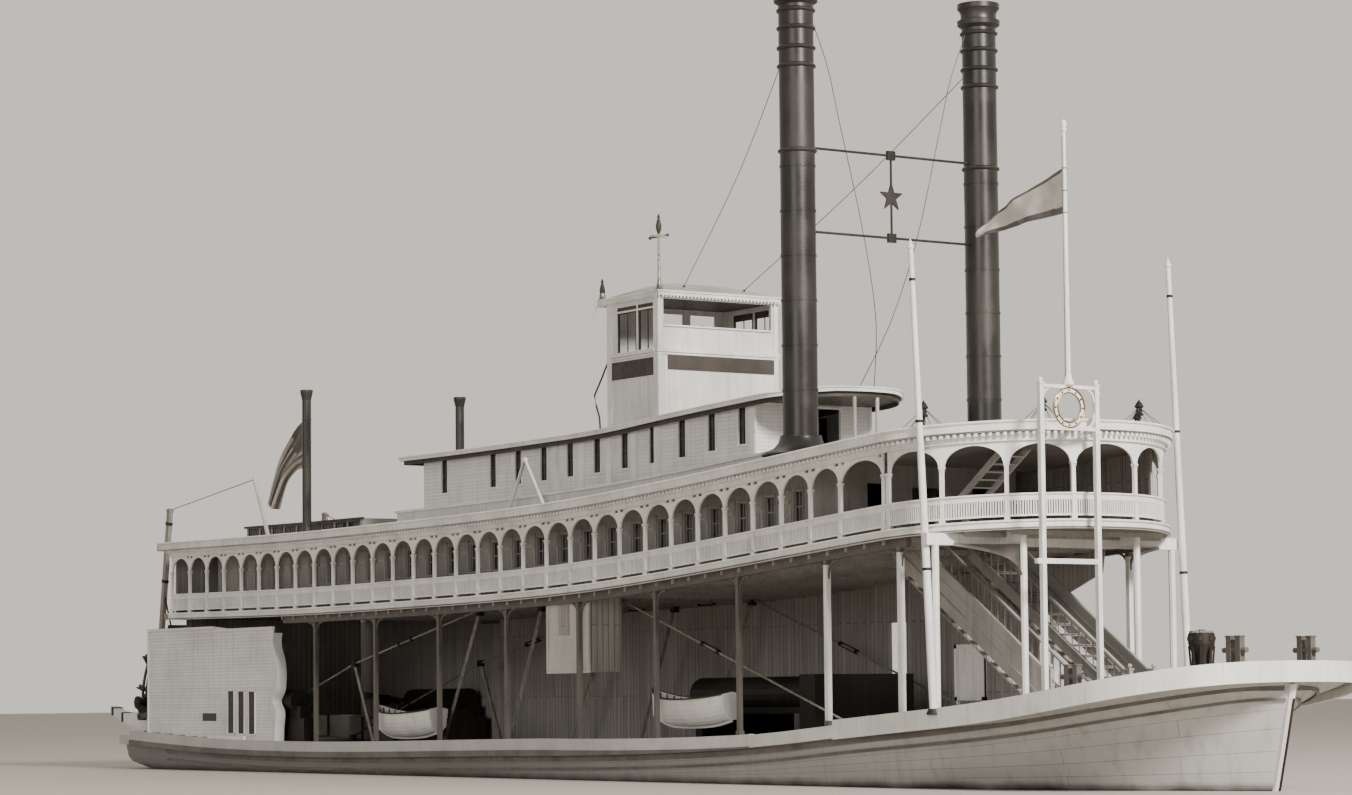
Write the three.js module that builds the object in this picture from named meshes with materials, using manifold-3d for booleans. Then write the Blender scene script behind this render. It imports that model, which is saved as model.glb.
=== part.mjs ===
// Stern-wheel river packet steamer, modelled at 1:10. Millimetres, +X to the bow, +Y to port, +Z up.
// The origin lies on the flat bottom of the hull, amidships.
import * as THREE from "three";
import { mergeVertices } from "three/addons/utils/BufferGeometryUtils.js";
import Module from "manifold-3d";

const wasm = await Module();
wasm.setup();

// Gap between pieces that rest on one another
const GAP = 0.3;

// Hull and main deck
const TRANSOM_X = -2720; // flat stern between the two stern legs, ahead of the wheel
const STERN_X = -3112; // after end of the stern legs that flank the wheel
const RECESS_HALF = 300; // half the width of the wheel recess
const DECK_HALF = 452;
const BOW_X = 3150;
const DECK_THICK = 14;
const NOSING_THICK = 11;
const FORECASTLE_X = 1715; // the edge band steps up here
const SHEER = [
  // [x, z]: the top of the edge band of the main deck
  [-3112, 258],
  [-2288, 226],
  [-1500, 217],
  [-300, 230],
  [700, 245],
  [1300, 268],
  [1700, 297],
  [2480, 356],
  [3150, 448],
];

// Boiler deck, arcade and roof; heights are above the underside of the boiler deck
const UPPER_SHEER = [
  // [x, z]: the underside of the boiler deck
  [-2720, 710],
  [-1540, 699],
  [-820, 702],
  [-200, 708],
  [364, 722],
  [940, 753],
  [1540, 794],
  [1969, 823],
  [2440, 847],
];
const UPPER_AFT = -2700;
const UPPER_HALF = 464;
const ROUND_X = 1969; // the front is half an ellipse from here
const ROUND_LENGTH = 440;
const UPPER_THICK = 25;
const RAIL_TOP = 100;
const ARCADE_TOP = 271;
const ROOF_TOP = 303;
const ROOF_OVERHANG = 16;
const BAY = 146.3;
const FIRST_POST_X = -2340;
const SIDE_BAYS = 28;
const FRONT_POST_ANGLES = [-88, -63, -39, -14.5, 14.5, 39, 63, 88];
const POST_WIDTH = 12;
const ARCADE_THICK = 9;

// Saloon cabin on the boiler deck
const SALOON_HALF = 330;
const SALOON_AFT = -2480;
const SALOON_FRONT = 1590;
const WALL = 7;

// Texas and its skirt on the roof
const SKIRT_HALF = 300;
const SKIRT_AFT = -1120;
const SKIRT_FRONT = 1180;
const SKIRT_HIGH = 52;
const SKIRT_DECK = 8;
const TEXAS_HALF = 215;
const TEXAS_AFT = -1060;
const TEXAS_FRONT = 1010;
const TEXAS_ROOF = [
  // [x, z]: the top of the texas roof
  [-1180, 1262],
  [-750, 1261],
  [-215, 1264],
  [161, 1270],
  [518, 1290],
  [966, 1311],
  [1179, 1320],
  [1320, 1334],
];
const TEXAS_ROOF_HALF = 250;
const TEXAS_ROUND_X = 1063;
const TEXAS_ROUND_LENGTH = 240;
const TEXAS_ROOF_THICK = 12;
const TEXAS_WINDOWS = [-910, -574, -406, -238, -70, 98, 266, 434, 602, 770, 938]; // centres along x
const TEXAS_WINDOW_WIDE = 42;
const TEXAS_WINDOW_SILL = 62; // above the skirt
const TEXAS_WINDOW_HEAD = 22; // below the top of the roof
const TEXAS_DOORWAYS = [
  // [wall, x, centre y, width, sill above the skirt, head below the top of the roof]
  ["aft", TEXAS_AFT + 1, 0, 70, 36, 40],
  ["front", TEXAS_FRONT - WALL - 1, 57, 98, 16, 26],
];

// Pilothouse
const PILOT_HALF = 230;
const PILOT_AFT = 190;
const PILOT_FRONT = 490;
const PILOT_SILL = 1504;
const PILOT_BREAST = 1586; // the open front starts here
const PILOT_HEAD = 1665; // heads of the windows
const PILOT_EAVE = 1685;
const PILOT_CROWN = 1742;
const PILOT_OVERHANG = 12;

// Chimneys and pipes
const STACK_X = 1426;
const STACK_Y = 353;
const STACK_RADIUS = 53;
const STACK_TOP = 2535;
const STACK_FLANGE = 2475;
const STACK_RINGS = [2016, 2273, 2328, 2388, 2442];
const STACK_FLOOR = 700; // the bore starts this far above the foot
const PIPE_X = -1747;
const PIPE_Y = 333;
const PIPE_TOP = 1550;

// Twin stairs from the forecastle up to the boiler deck
const STAIR_TOP_X = 1650;
const STAIR_FOOT_X = 2370;
const STAIR_Y = [100, 190]; // inner and outer string
const STAIR_STRING = 8;
const STEPS_COUNT = 15;
const STAIR_WELL = [1647, 2050]; // opening in the boiler deck

// Paddle wheel and its gear
const WHEEL_X = -3080;
const WHEEL_Z = 385;
const WHEEL_RADIUS = 315;
const WHEEL_HALF = 262;
const ARMS = 14;
const SHAFT_RADIUS = 16;
const CRANK_RADIUS = 80;
const TIMBER_Y = 352;
const TIMBER_WIDE = 60;
const CRANK_Y = 398;
const PITMAN_Y = 416;
const PITMAN_LENGTH = 620;
const ENGINE_Y = 366;
const CRANK_LEAD = [-45, 45]; // degrees above the line to the bow, starboard and port
const RUDDER_X = -2745;
const RUDDER_Y = [-150, 150];
const STOCK_RADIUS = 9;
const RUDDER_BEARINGS = [
  // [low, high]
  [162, 176],
  [194, 208],
];

const YAWL_SKIN = 5;

const PAINT = {
  white: new THREE.MeshStandardMaterial({ color: 0xe9e4da, roughness: 0.6, metalness: 0 }),
  dark: new THREE.MeshStandardMaterial({ color: 0x37322e, roughness: 0.8, metalness: 0 }),
  plank: new THREE.MeshStandardMaterial({ color: 0x8d8376, roughness: 0.85, metalness: 0 }),
  roofing: new THREE.MeshStandardMaterial({ color: 0x77716a, roughness: 0.9, metalness: 0 }),
  iron: new THREE.MeshStandardMaterial({ color: 0x201d1b, roughness: 0.4, metalness: 0.5 }),
  wheel: new THREE.MeshStandardMaterial({ color: 0x3a2f2a, roughness: 0.85, metalness: 0 }),
  cloth: new THREE.MeshStandardMaterial({ color: 0xb9b2a4, roughness: 0.95, metalness: 0 }),
};

const rad = THREE.MathUtils.degToRad;
const SIDES = [
  // [name, sign of y]
  ["starboard", -1],
  ["port", 1],
];

const boat = new THREE.Group();

// A smooth line through a table of [x, value] rows
function along(rows, x) {
  const last = rows.length - 1;
  if (x <= rows[0][0]) return rows[0][1];
  if (x >= rows[last][0]) return rows[last][1];
  let i = 0;
  while (rows[i + 1][0] < x) i += 1;
  const slope = (a, b) => (rows[b][1] - rows[a][1]) / (rows[b][0] - rows[a][0]);
  const span = rows[i + 1][0] - rows[i][0];
  const here = slope(i, i + 1);
  const before = i > 0 ? (slope(i - 1, i) + here) / 2 : here;
  const after = i + 1 < last ? (slope(i + 1, i + 2) + here) / 2 : here;
  const t = (x - rows[i][0]) / span;
  const rise = rows[i + 1][1] - rows[i][1];
  return (
    rows[i][1] +
    rise * t * t * (3 - 2 * t) +
    span * (before * t * (1 - t) ** 2 - after * t * t * (1 - t))
  );
}
// Evenly spaced values from a to b
const steps = (a, b, count) => Array.from({ length: count + 1 }, (_, i) => a + ((b - a) * i) / count);
// The same line drawn straight from station to station, so that decks and what stands on them agree
function faceted(stations, rows) {
  const points = stations.map((x) => [x, along(rows, x)]);
  return (x) => {
    const i = Math.max(1, points.findIndex(([station]) => station >= x));
    const [[xa, za], [xb, zb]] = x > stations.at(-1) ? points.slice(-2) : points.slice(i - 1, i + 1);
    return za + ((zb - za) * (x - xa)) / (xb - xa);
  };
}
const stationsFrom = (from, to) => steps(from, to, Math.round((to - from) / BAY));
const DECK_STATIONS = [...stationsFrom(STERN_X - 5, 2450), ...steps(2450, BOW_X - 6, 14).slice(1)];
const UPPER_STATIONS = stationsFrom(UPPER_AFT - 30, ROUND_X + ROUND_LENGTH + 20);
const TEXAS_STATIONS = [-1180, ...stationsFrom(TEXAS_AFT, TEXAS_FRONT), 1179, 1320];
const sheer = faceted(DECK_STATIONS, SHEER);
const upper = faceted(UPPER_STATIONS, UPPER_SHEER);
const texasTop = faceted(TEXAS_STATIONS, TEXAS_ROOF);
const deckTop = (x) => sheer(x) - 4; // the planks lie a little below the edge band
const roofTop = (x) => upper(x) + ROOF_TOP;
const skirtTop = (x) => roofTop(x) + SKIRT_HIGH;

// Half the width of the rounded forecastle deck
function deckHalf(x) {
  const start = 2450;
  const u = Math.max(0, (x - start) / (BOW_X - start));
  return DECK_HALF * (1 - Math.min(u, 1) ** 2.9) ** (1 / 2.9);
}

// Solids from closed geometry, and back
function solid(geometry) {
  let g = geometry.clone();
  for (const name of Object.keys(g.attributes)) if (name !== "position") g.deleteAttribute(name);
  g = mergeVertices(g, 1e-3);
  return new wasm.Manifold(
    new wasm.Mesh({
      numProp: 3,
      vertProperties: new Float32Array(g.attributes.position.array),
      triVerts: new Uint32Array(g.index.array),
    }),
  );
}
function geometryOf(body) {
  const mesh = body.getMesh();
  const g = new THREE.BufferGeometry();
  g.setAttribute("position", new THREE.BufferAttribute(new Float32Array(mesh.vertProperties), 3));
  g.setIndex(new THREE.BufferAttribute(new Uint32Array(mesh.triVerts), 1));
  return g;
}
function join(pieces) {
  return geometryOf(pieces.map(solid).reduce((all, next) => all.add(next)));
}
function cut(piece, tools) {
  return geometryOf(tools.map(solid).reduce((left, tool) => left.subtract(tool), solid(piece)));
}
function place(name, geometry, material) {
  const g = geometry.index ? geometry.toNonIndexed() : geometry;
  g.computeVertexNormals();
  const mesh = new THREE.Mesh(g, material);
  mesh.name = name;
  boat.add(mesh);
}

// A block between two corners
function block(low, high) {
  const g = new THREE.BoxGeometry(high[0] - low[0], high[1] - low[1], high[2] - low[2]);
  return g.translate((low[0] + high[0]) / 2, (low[1] + high[1]) / 2, (low[2] + high[2]) / 2);
}
// A round bar or a square beam between two points
function between(g, a, b) {
  const from = new THREE.Vector3(...a);
  const to = new THREE.Vector3(...b);
  const turn = new THREE.Quaternion().setFromUnitVectors(
    new THREE.Vector3(0, 1, 0),
    to.clone().sub(from).normalize(),
  );
  const middle = from.add(to).multiplyScalar(0.5);
  return g.applyQuaternion(turn).translate(middle.x, middle.y, middle.z);
}
function bar(a, b, radius, sides = 8, endRadius = radius) {
  const length = new THREE.Vector3(...a).distanceTo(new THREE.Vector3(...b));
  return between(new THREE.CylinderGeometry(endRadius, radius, length, sides), a, b);
}
function beam(a, b, wide, deep) {
  const length = new THREE.Vector3(...a).distanceTo(new THREE.Vector3(...b));
  return between(new THREE.BoxGeometry(wide, length, deep), a, b);
}
// A body of revolution about a vertical axis, from [radius, z] rows that start and end on the axis
function turned(x, y, rows, sides = 24) {
  const g = new THREE.LatheGeometry(
    rows.map(([r, z]) => new THREE.Vector2(r, z)),
    sides,
  );
  return g.rotateX(Math.PI / 2).translate(x, y, 0);
}

// A closed loft through rings of points, all with the same count
function loft(rings) {
  const count = rings[0].length;
  const points = rings.flat(2);
  const index = [];
  const at = (ring, i) => ring * count + (i % count);
  for (let r = 0; r + 1 < rings.length; r += 1)
    for (let i = 0; i < count; i += 1)
      index.push(
        at(r, i), at(r, i + 1), at(r + 1, i + 1),
        at(r, i), at(r + 1, i + 1), at(r + 1, i),
      );
  for (let i = 1; i + 1 < count; i += 1) {
    index.push(at(0, 0), at(0, i + 1), at(0, i));
    index.push(at(rings.length - 1, 0), at(rings.length - 1, i), at(rings.length - 1, i + 1));
  }
  const g = new THREE.BufferGeometry();
  g.setAttribute("position", new THREE.BufferAttribute(new Float32Array(points), 3));
  g.setIndex(index);
  return outward(g);
}
// Turns a closed geometry the right way out
function outward(g) {
  const p = g.attributes.position;
  const corner = (i) => new THREE.Vector3().fromBufferAttribute(p, g.index.getX(i));
  let volume = 0;
  for (let i = 0; i < g.index.count; i += 3)
    volume += corner(i).dot(corner(i + 1).cross(corner(i + 2)));
  if (volume < 0) {
    const flipped = Array.from(g.index.array);
    for (let i = 0; i < flipped.length; i += 3)
      [flipped[i + 1], flipped[i + 2]] = [flipped[i + 2], flipped[i + 1]];
    g.setIndex(flipped);
  }
  return g;
}

// A slab that is as wide as `half` says at each station, between two heights
function slab(stations, half, low, high) {
  return loft(
    stations.map((x) => [
      [x, -half(x), low(x)],
      [x, half(x), low(x)],
      [x, half(x), high(x)],
      [x, -half(x), high(x)],
    ]),
  );
}
// A panel drawn in (distance, height) and bent along a path; height is above base(x)
function sheet({ path, ends, step = BAY, low, high, thick, holes = [], base }) {
  const curved = base || typeof low === "function" || typeof high === "function";
  const count = curved ? Math.max(1, Math.round((ends[1] - ends[0]) / step)) : 1;
  const at = (value, s) => (typeof value === "function" ? value(s) : value);
  const lift = (s, h) => h + (base ? base(path(s).x) : 0);
  const plain = loft(
    steps(ends[0], ends[1], count).map((s) => {
      const from = lift(s, at(low, s));
      const to = lift(s, at(high, s));
      return [[s, from, 0], [s, from, thick], [s, to, thick], [s, to, 0]];
    }),
  );
  const cutters = holes.map((points) => {
    const shape = new THREE.Shape(points.map(([s, h]) => new THREE.Vector2(s, lift(s, h))));
    return new THREE.ExtrudeGeometry(shape, { depth: thick + 4, bevelEnabled: false }).translate(0, 0, -2);
  });
  const g = cutters.length ? cut(plain, cutters) : plain;
  const p = g.attributes.position;
  for (let i = 0; i < p.count; i += 1) {
    const { x, y, nx, ny } = path(p.getX(i));
    const t = p.getZ(i);
    p.setXYZ(i, x + nx * t, y + ny * t, p.getY(i));
  }
  return outward(g);
}
const sidePath = (y) => (s) => ({ x: s, y, nx: 0, ny: Math.sign(y) || 1 });
const crossPath = (x) => (s) => ({ x, y: s, nx: 1, ny: 0 });
// An ellipse about [centre, 0], measured in degrees from the bow
const roundPath = (centre, long, half) => (s) => {
  const c = Math.cos(rad(s));
  const d = Math.sin(rad(s));
  const n = new THREE.Vector2(half * c, long * d).normalize();
  return { x: centre + long * c, y: half * d, nx: n.x, ny: n.y };
};
function hole(s, low, wide, high) {
  return [
    [s - wide / 2, low],
    [s + wide / 2, low],
    [s + wide / 2, low + high],
    [s - wide / 2, low + high],
  ];
}
// A round-headed opening whose head is half an ellipse
function archHole(s, low, wide, crown, headHigh) {
  const spring = crown - headHigh;
  const head = steps(0, 180, 6).map((a) => [
    s + (wide / 2) * Math.cos(rad(a)),
    spring + headHigh * Math.sin(rad(a)),
  ]);
  return [[s - wide / 2, low], [s + wide / 2, low], ...head];
}

// Hull: rows run from the stern to the stem, each level with its own x and half breadth
const HULL = [
  // [x bottom, y bottom, z bottom, x bilge, y bilge, x knuckle, y knuckle, x top, y top]
  [STERN_X, 404, 150, STERN_X, 424, STERN_X, 432, STERN_X, 436],
  [TRANSOM_X, 412, 92, TRANSOM_X, 432, TRANSOM_X, 438, TRANSOM_X, 440],
  [-2250, 416, 0, -2250, 436, -2250, 438, -2250, 440],
  [-1400, 418, 0, -1400, 437, -1400, 439, -1400, 440],
  [-300, 418, 0, -300, 437, -300, 439, -300, 440],
  [700, 418, 0, 700, 437, 700, 439, 700, 440],
  [1400, 408, 0, 1400, 432, 1400, 436, 1400, 440],
  [1900, 372, 0, 1900, 408, 1900, 424, 1900, 438],
  [2300, 292, 0, 2300, 345, 2310, 390, 2310, 436],
  [2600, 178, 0, 2620, 240, 2650, 318, 2670, 424],
  [2790, 92, 0, 2820, 140, 2880, 215, 2910, 370],
  [2930, 38, 8, 2960, 60, 3020, 105, 3070, 240],
  [3010, 9, 26, 3047, 9, 3105, 9, 3122, 60],
];
const STEM = [
  // [x, z]: the face of the hull's fore end, from the foot up
  [3014, 26],
  [3050, 132],
  [3107, 364],
];
const BILGE_Z = 132;
const KNUCKLE_DROP = 84;
const hullTop = (x) => deckTop(x) - DECK_THICK - GAP;
function hull() {
  const rings = HULL.map(([xb, yb, zb, xw, yw, xk, yk, xt, yt]) => {
    const bilge = Math.max(BILGE_Z, zb + 20);
    const half = [
      [xb, yb, zb],
      [xw, yw, bilge],
      [xk, yk, sheer(xk) - KNUCKLE_DROP],
      [xt, yt, hullTop(xt)],
    ];
    return [...half.map(([x, y, z]) => [x, -y, z]).reverse(), ...half];
  });
  const recess = block([STERN_X - 50, -RECESS_HALF, -50], [TRANSOM_X, RECESS_HALF, 500]);
  const stem = loft(
    STEM.map(([x, z]) => [[x - 30, -8, z], [x - 30, 8, z], [x + 14, 8, z], [x + 14, -8, z]]),
  );
  const bearings = RUDDER_BEARINGS.map(([low, high]) =>
    block([TRANSOM_X - 40, -250, low], [TRANSOM_X + 5, 250, high]),
  );
  const stocks = RUDDER_Y.map((y) =>
    bar([RUDDER_X, y, 100], [RUDDER_X, y, 300], STOCK_RADIUS + GAP, 16),
  );
  const above = slab(DECK_STATIONS, () => DECK_HALF + 60, hullTop, () => 900);
  return cut(join([cut(loft(rings), [recess, above]), stem, ...bearings]), stocks);
}
place("hull", hull(), PAINT.dark);

// Main deck with the wheel recess, the capstan and the bitts, and the bands along its edge
const CAPSTAN_X = 2772;
const CAPSTAN = [
  // [radius, height above the deck]
  [0, -4],
  [44, -4],
  [44, 14],
  [24, 26],
  [20, 96],
  [34, 132],
  [34, 160],
  [0, 160],
];
const BITTS = [
  // [x, y, height]
  [3040, -128, 96],
  [3040, 128, 96],
  [2640, -345, 84],
  [2640, 345, 84],
];
place(
  "main_deck",
  join([
    cut(
      slab(DECK_STATIONS, deckHalf, (x) => deckTop(x) - DECK_THICK, deckTop),
      [block([STERN_X - 50, -RECESS_HALF, 100], [TRANSOM_X, RECESS_HALF, 500])],
    ),
    turned(CAPSTAN_X, 0, CAPSTAN.map(([r, h]) => [r, deckTop(CAPSTAN_X) + h]), 12),
    ...BITTS.flatMap(([x, y, high]) => [
      block([x - 26, y - 8, deckTop(x) - 6], [x - 10, y + 8, deckTop(x) + high]),
      block([x + 10, y - 8, deckTop(x) - 4], [x + 26, y + 8, deckTop(x) + high]),
      block([x - 40, y - 5, deckTop(x) + 0.6 * high], [x + 40, y + 5, deckTop(x) + 0.6 * high + 12]),
    ]),
  ]),
  PAINT.plank,
);
// The band follows the outline of the deck from one stern leg round the bow to the other
function edgeBand() {
  const start = 2450;
  const power = 2 / 2.9;
  const sideRow = (side) => [
    ...steps(STERN_X, FORECASTLE_X, 20).map((x) => [x, side, false]),
    ...steps(FORECASTLE_X, start, 6).map((x) => [x, side, true]),
  ];
  const straight = (x, side, raised) => {
    const y = side * (DECK_HALF + GAP);
    return [x, y, x, side * (DECK_HALF + 2 + NOSING_THICK), raised];
  };
  const round = (a) => {
    const c = Math.max(Math.cos(rad(a)), 0) ** power;
    const d = Math.sign(a) * Math.abs(Math.sin(rad(a))) ** power;
    const long = BOW_X - start;
    const outer = 2 + NOSING_THICK;
    return [
      start + (long + 2) * c, (DECK_HALF + 2) * d,
      start + (long + outer) * c, (DECK_HALF + outer) * d,
      true,
    ];
  };
  const rows = [
    ...sideRow(-1).map(([x, side, raised]) => straight(x, side, raised)),
    ...steps(-88, 88, 44).map(round),
    ...sideRow(1).reverse().map(([x, side, raised]) => straight(x, side, raised)),
  ];
  return loft(
    rows.map(([xi, yi, xo, yo, raised]) => {
      const z = sheer(xi);
      const low = z - (raised ? 41 : 37);
      const high = z + (raised ? 15 : 0);
      return [[xi, yi, low], [xo, yo, low], [xo, yo, high], [xi, yi, high]];
    }),
  );
}
place("edge_band", edgeBand(), PAINT.white);

// Wheel beams over the stern legs, swept up at their ends, each with the bearing of the wheel shaft
const WHEEL_BEAM = [
  // [x, low, high]
  [-3400, 340, 372],
  [-3330, 318, 352],
  [-3230, 296, 338],
  [-3112, 278, 332],
  [-2960, 256, 330],
  [-2700, 234, 326],
  [-2300, 224.5, 300],
];
const STERN_POST_FOOT = [-2925, 315]; // [x, z]
const STERN_POST_HEAD = [-2752, 1135];
SIDES.forEach(([name, side]) => {
  const y = [side * TIMBER_Y - TIMBER_WIDE / 2, side * TIMBER_Y + TIMBER_WIDE / 2];
  const timber = loft(
    WHEEL_BEAM.map(([x, low, high]) => [
      [x, y[0], Math.max(low, deckTop(x) + GAP)],
      [x, y[1], Math.max(low, deckTop(x) + GAP)],
      [x, y[1], high],
      [x, y[0], high],
    ]),
  );
  const bearing = block([WHEEL_X - 34, y[0] + 8, 320], [WHEEL_X + 34, y[1] - 8, WHEEL_Z + 34]);
  const bore = bar([WHEEL_X, y[0] - 5, WHEEL_Z], [WHEEL_X, y[1] + 5, WHEEL_Z], SHAFT_RADIUS + GAP, 24);
  const post = beam(
    [STERN_POST_FOOT[0], side * TIMBER_Y, STERN_POST_FOOT[1]],
    [STERN_POST_HEAD[0], side * TIMBER_Y, STERN_POST_HEAD[1]],
    16, 24,
  );
  place(`wheel_beam_${name}`, cut(join([timber, bearing, post]), [bore]), PAINT.white);
});

// Places [x, z] of a crank pin and of the crosshead that its connecting rod drives
const crankPin = (i) => [
  WHEEL_X + CRANK_RADIUS * Math.cos(rad(CRANK_LEAD[i])),
  WHEEL_Z + CRANK_RADIUS * Math.sin(rad(CRANK_LEAD[i])),
];
const crosshead = (i) => {
  const [x, z] = crankPin(i);
  return [x + Math.sqrt(PITMAN_LENGTH ** 2 - (z - WHEEL_Z) ** 2), WHEEL_Z];
};

// Paddle wheel: shaft with its cranks, and the reel of arms, rims and buckets
const FRAME_Y = [-246, 0, 246];
function wheelShaft() {
  const reach = CRANK_Y + 8;
  const pieces = [
    bar([WHEEL_X, -reach, WHEEL_Z], [WHEEL_X, reach, WHEEL_Z], SHAFT_RADIUS, 24),
  ];
  SIDES.forEach(([, side], i) => {
    const pin = crankPin(i);
    const y = side * CRANK_Y;
    pieces.push(
      beam([WHEEL_X, y, WHEEL_Z], [pin[0], y, pin[1]], 12, 26),
      bar([WHEEL_X, y - 6, WHEEL_Z], [WHEEL_X, y + 6, WHEEL_Z], 26, 20),
      bar([pin[0], y - 6, pin[1]], [pin[0], y + 6, pin[1]], 15, 16),
      bar([pin[0], y, pin[1]], [pin[0], side * (PITMAN_Y + 8), pin[1]], 7, 16),
    );
  });
  return join(pieces);
}
function wheelReel() {
  const pieces = [];
  FRAME_Y.forEach((y) => {
    pieces.push(bar([WHEEL_X, y - 9, WHEEL_Z], [WHEEL_X, y + 9, WHEEL_Z], 46, ARMS));
    [[172, 184], [256, 268]].forEach(([inner, outer]) => {
      const rim = new THREE.LatheGeometry(
        [[inner, -4], [outer, -4], [outer, 4], [inner, 4], [inner, -4]].map(
          ([r, h]) => new THREE.Vector2(r, h),
        ),
        ARMS,
        rad(90 - 180 / ARMS),
      );
      pieces.push(rim.translate(0, y, 0).translate(WHEEL_X, 0, WHEEL_Z));
    });
    for (let i = 0; i < ARMS; i += 1) {
      const a = rad((360 / ARMS) * (i + 0.5));
      const c = Math.cos(a);
      const d = Math.sin(a);
      pieces.push(
        beam(
          [WHEEL_X + 30 * c, y, WHEEL_Z + 30 * d],
          [WHEEL_X + (WHEEL_RADIUS - 3) * c, y, WHEEL_Z + (WHEEL_RADIUS - 3) * d],
          11, 11,
        ),
      );
    }
  });
  for (let i = 0; i < ARMS; i += 1) {
    const a = rad((360 / ARMS) * (i + 0.5));
    const bucket = new THREE.BoxGeometry(66, 2 * WHEEL_HALF, 5);
    bucket.translate(WHEEL_RADIUS - 33, 0, 7).rotateY(-a).translate(WHEEL_X, 0, WHEEL_Z);
    pieces.push(bucket);
  }
  const bore = bar(
    [WHEEL_X, -300, WHEEL_Z], [WHEEL_X, 300, WHEEL_Z], SHAFT_RADIUS + GAP, 24,
  );
  return cut(join(pieces), [bore]);
}
place("wheel_shaft", wheelShaft(), PAINT.iron);
place("wheel_reel", wheelReel(), PAINT.wheel);

// Connecting rods from the crank pins forward, open at the crosshead
SIDES.forEach(([name, side], i) => {
  const pin = crankPin(i);
  const end = crosshead(i);
  const y = side * (PITMAN_Y + 1);
  const across = ([x, z], half, radius, sides) => bar([x, y - half, z], [x, y + half, z], radius, sides);
  const rod = join([
    beam([pin[0], y, pin[1]], [end[0], y, end[1]], 9, 22),
    across(pin, 5, 15, 16),
    across(end, 5, 13, 16),
  ]);
  const eye = across(pin, 9, 7 + GAP, 16);
  place(`pitman_${name}`, cut(rod, [eye]), PAINT.wheel);
});

// Rudders under the stern, each with its stock and tiller
RUDDER_Y.forEach((y, i) => {
  const name = SIDES[i][0];
  place(
    `rudder_${name}`,
    join([
      block([RUDDER_X - 84, y - 5, 14], [RUDDER_X + 100, y + 5, 60]),
      block([RUDDER_X - 84, y - 5, 50], [RUDDER_X + 10, y + 5, 150]),
      bar([RUDDER_X, y, 20], [RUDDER_X, y, 300], STOCK_RADIUS, 16),
      block([RUDDER_X - 10, y - 8, 282], [RUDDER_X + 90, y + 8, 294]),
    ]),
    PAINT.dark,
  );
});
// Engines and boilers on the main deck
SIDES.forEach(([name, side], i) => {
  const y = side * ENGINE_Y;
  const [x, z] = crosshead(i);
  place(
    `engine_${name}`,
    join([
      block([-2240, y - 22, 310], [-1700, y + 22, 365]),
      bar([-2180, y, z], [-1740, y, z], 42, 20),
      bar([x, y, z], [-2170, y, z], 7, 12),
      block([x - 14, y - 16, z - 20], [x + 14, y + 16, z + 20]),
      bar([x, y, z], [x, y + side * 40, z], 6, 12),
      loft(
        steps(-2290, -1660, 6).map((x) => [
          [x, y - 28, deckTop(x) + GAP],
          [x, y + 28, deckTop(x) + GAP],
          [x, y + 28, 320],
          [x, y - 28, 320],
        ]),
      ),
    ]),
    PAINT.iron,
  );
});
place(
  "boilers",
  join([
    ...[-120, 0, 120].map((y) => bar([560, y, 390], [1240, y, 390], 55, 20)),
    block([1180, -190, deckTop(1260) + GAP], [1260, 190, 450]),
    block([600, -180, deckTop(660) + GAP + 1], [640, 180, 380]),
    block([600, -190, 330], [1200, 190, 350]),
  ]),
  PAINT.iron,
);

// Engine-room sides; the forward edge is cut in a scroll
const ROOM_AFT = -2880;
const ROOM_FRONT = -1783;
SIDES.forEach(([name, side]) => {
  const scroll = [
    // [x, height above the deck]
    [ROOM_FRONT - 4, -5],
    [ROOM_FRONT - 2, 60],
    [ROOM_FRONT + 6, 130],
    [ROOM_FRONT - 22, 170],
    [ROOM_FRONT + 12, 215],
    [ROOM_FRONT + 16, 300],
    [ROOM_FRONT - 20, 380],
    [ROOM_FRONT - 10, 480],
    [ROOM_FRONT + 80, 480],
    [ROOM_FRONT + 80, -5],
  ];
  place(
    `engine_room_side_${name}`,
    sheet({
      path: sidePath(side * 443),
      ends: [ROOM_AFT, ROOM_FRONT + 30],
      low: GAP,
      high: (s) => 664 - deckTop(s) + (s < -2300 ? 12 : 0),
      thick: 6,
      base: deckTop,
      holes: [
        scroll,
        hole(-1960, 50, 22, 150),
        hole(-2045, 50, 22, 150),
        hole(-2130, 50, 22, 150),
        hole(-2330, 90, 110, 26),
      ],
    }),
    PAINT.white,
  );
});
place(
  "engine_room_bulkhead",
  sheet({
    path: crossPath(-2655),
    ends: [-390, 390],
    low: deckTop(-2650) + 92,
    high: upper(-2650) - GAP,
    thick: 6,
    holes: [hole(0, deckTop(-2650) + 92 + 40, 90, 200)],
  }),
  PAINT.white,
);

// Boiler deck: straight sides and a rounded front
const roundEnd = (centre, long) => steps(90, 8, 12).map((a) => centre + long * Math.cos(rad(a)));
const slabStations = (stations, aft, centre, long) => {
  const ends = [aft, ...roundEnd(centre, long)];
  const inside = stations.filter((x) => x > aft && x < ends.at(-1) && ends.every((e) => Math.abs(e - x) > 1));
  return [...ends, ...inside].sort((a, b) => a - b);
};
const upperHalf = (half, centre, long) => (x) =>
  x <= centre ? half : half * Math.sqrt(Math.max(0, 1 - ((x - centre) / long) ** 2));
place(
  "boiler_deck",
  cut(
    slab(
      slabStations(UPPER_STATIONS, UPPER_AFT, ROUND_X, ROUND_LENGTH),
      upperHalf(UPPER_HALF, ROUND_X, ROUND_LENGTH),
      upper,
      (x) => upper(x) + UPPER_THICK,
    ),
    [block([STAIR_WELL[0], -STAIR_Y[1] - 10, 700], [STAIR_WELL[1], STAIR_Y[1] + 10, 900])],
  ),
  PAINT.white,
);
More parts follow.
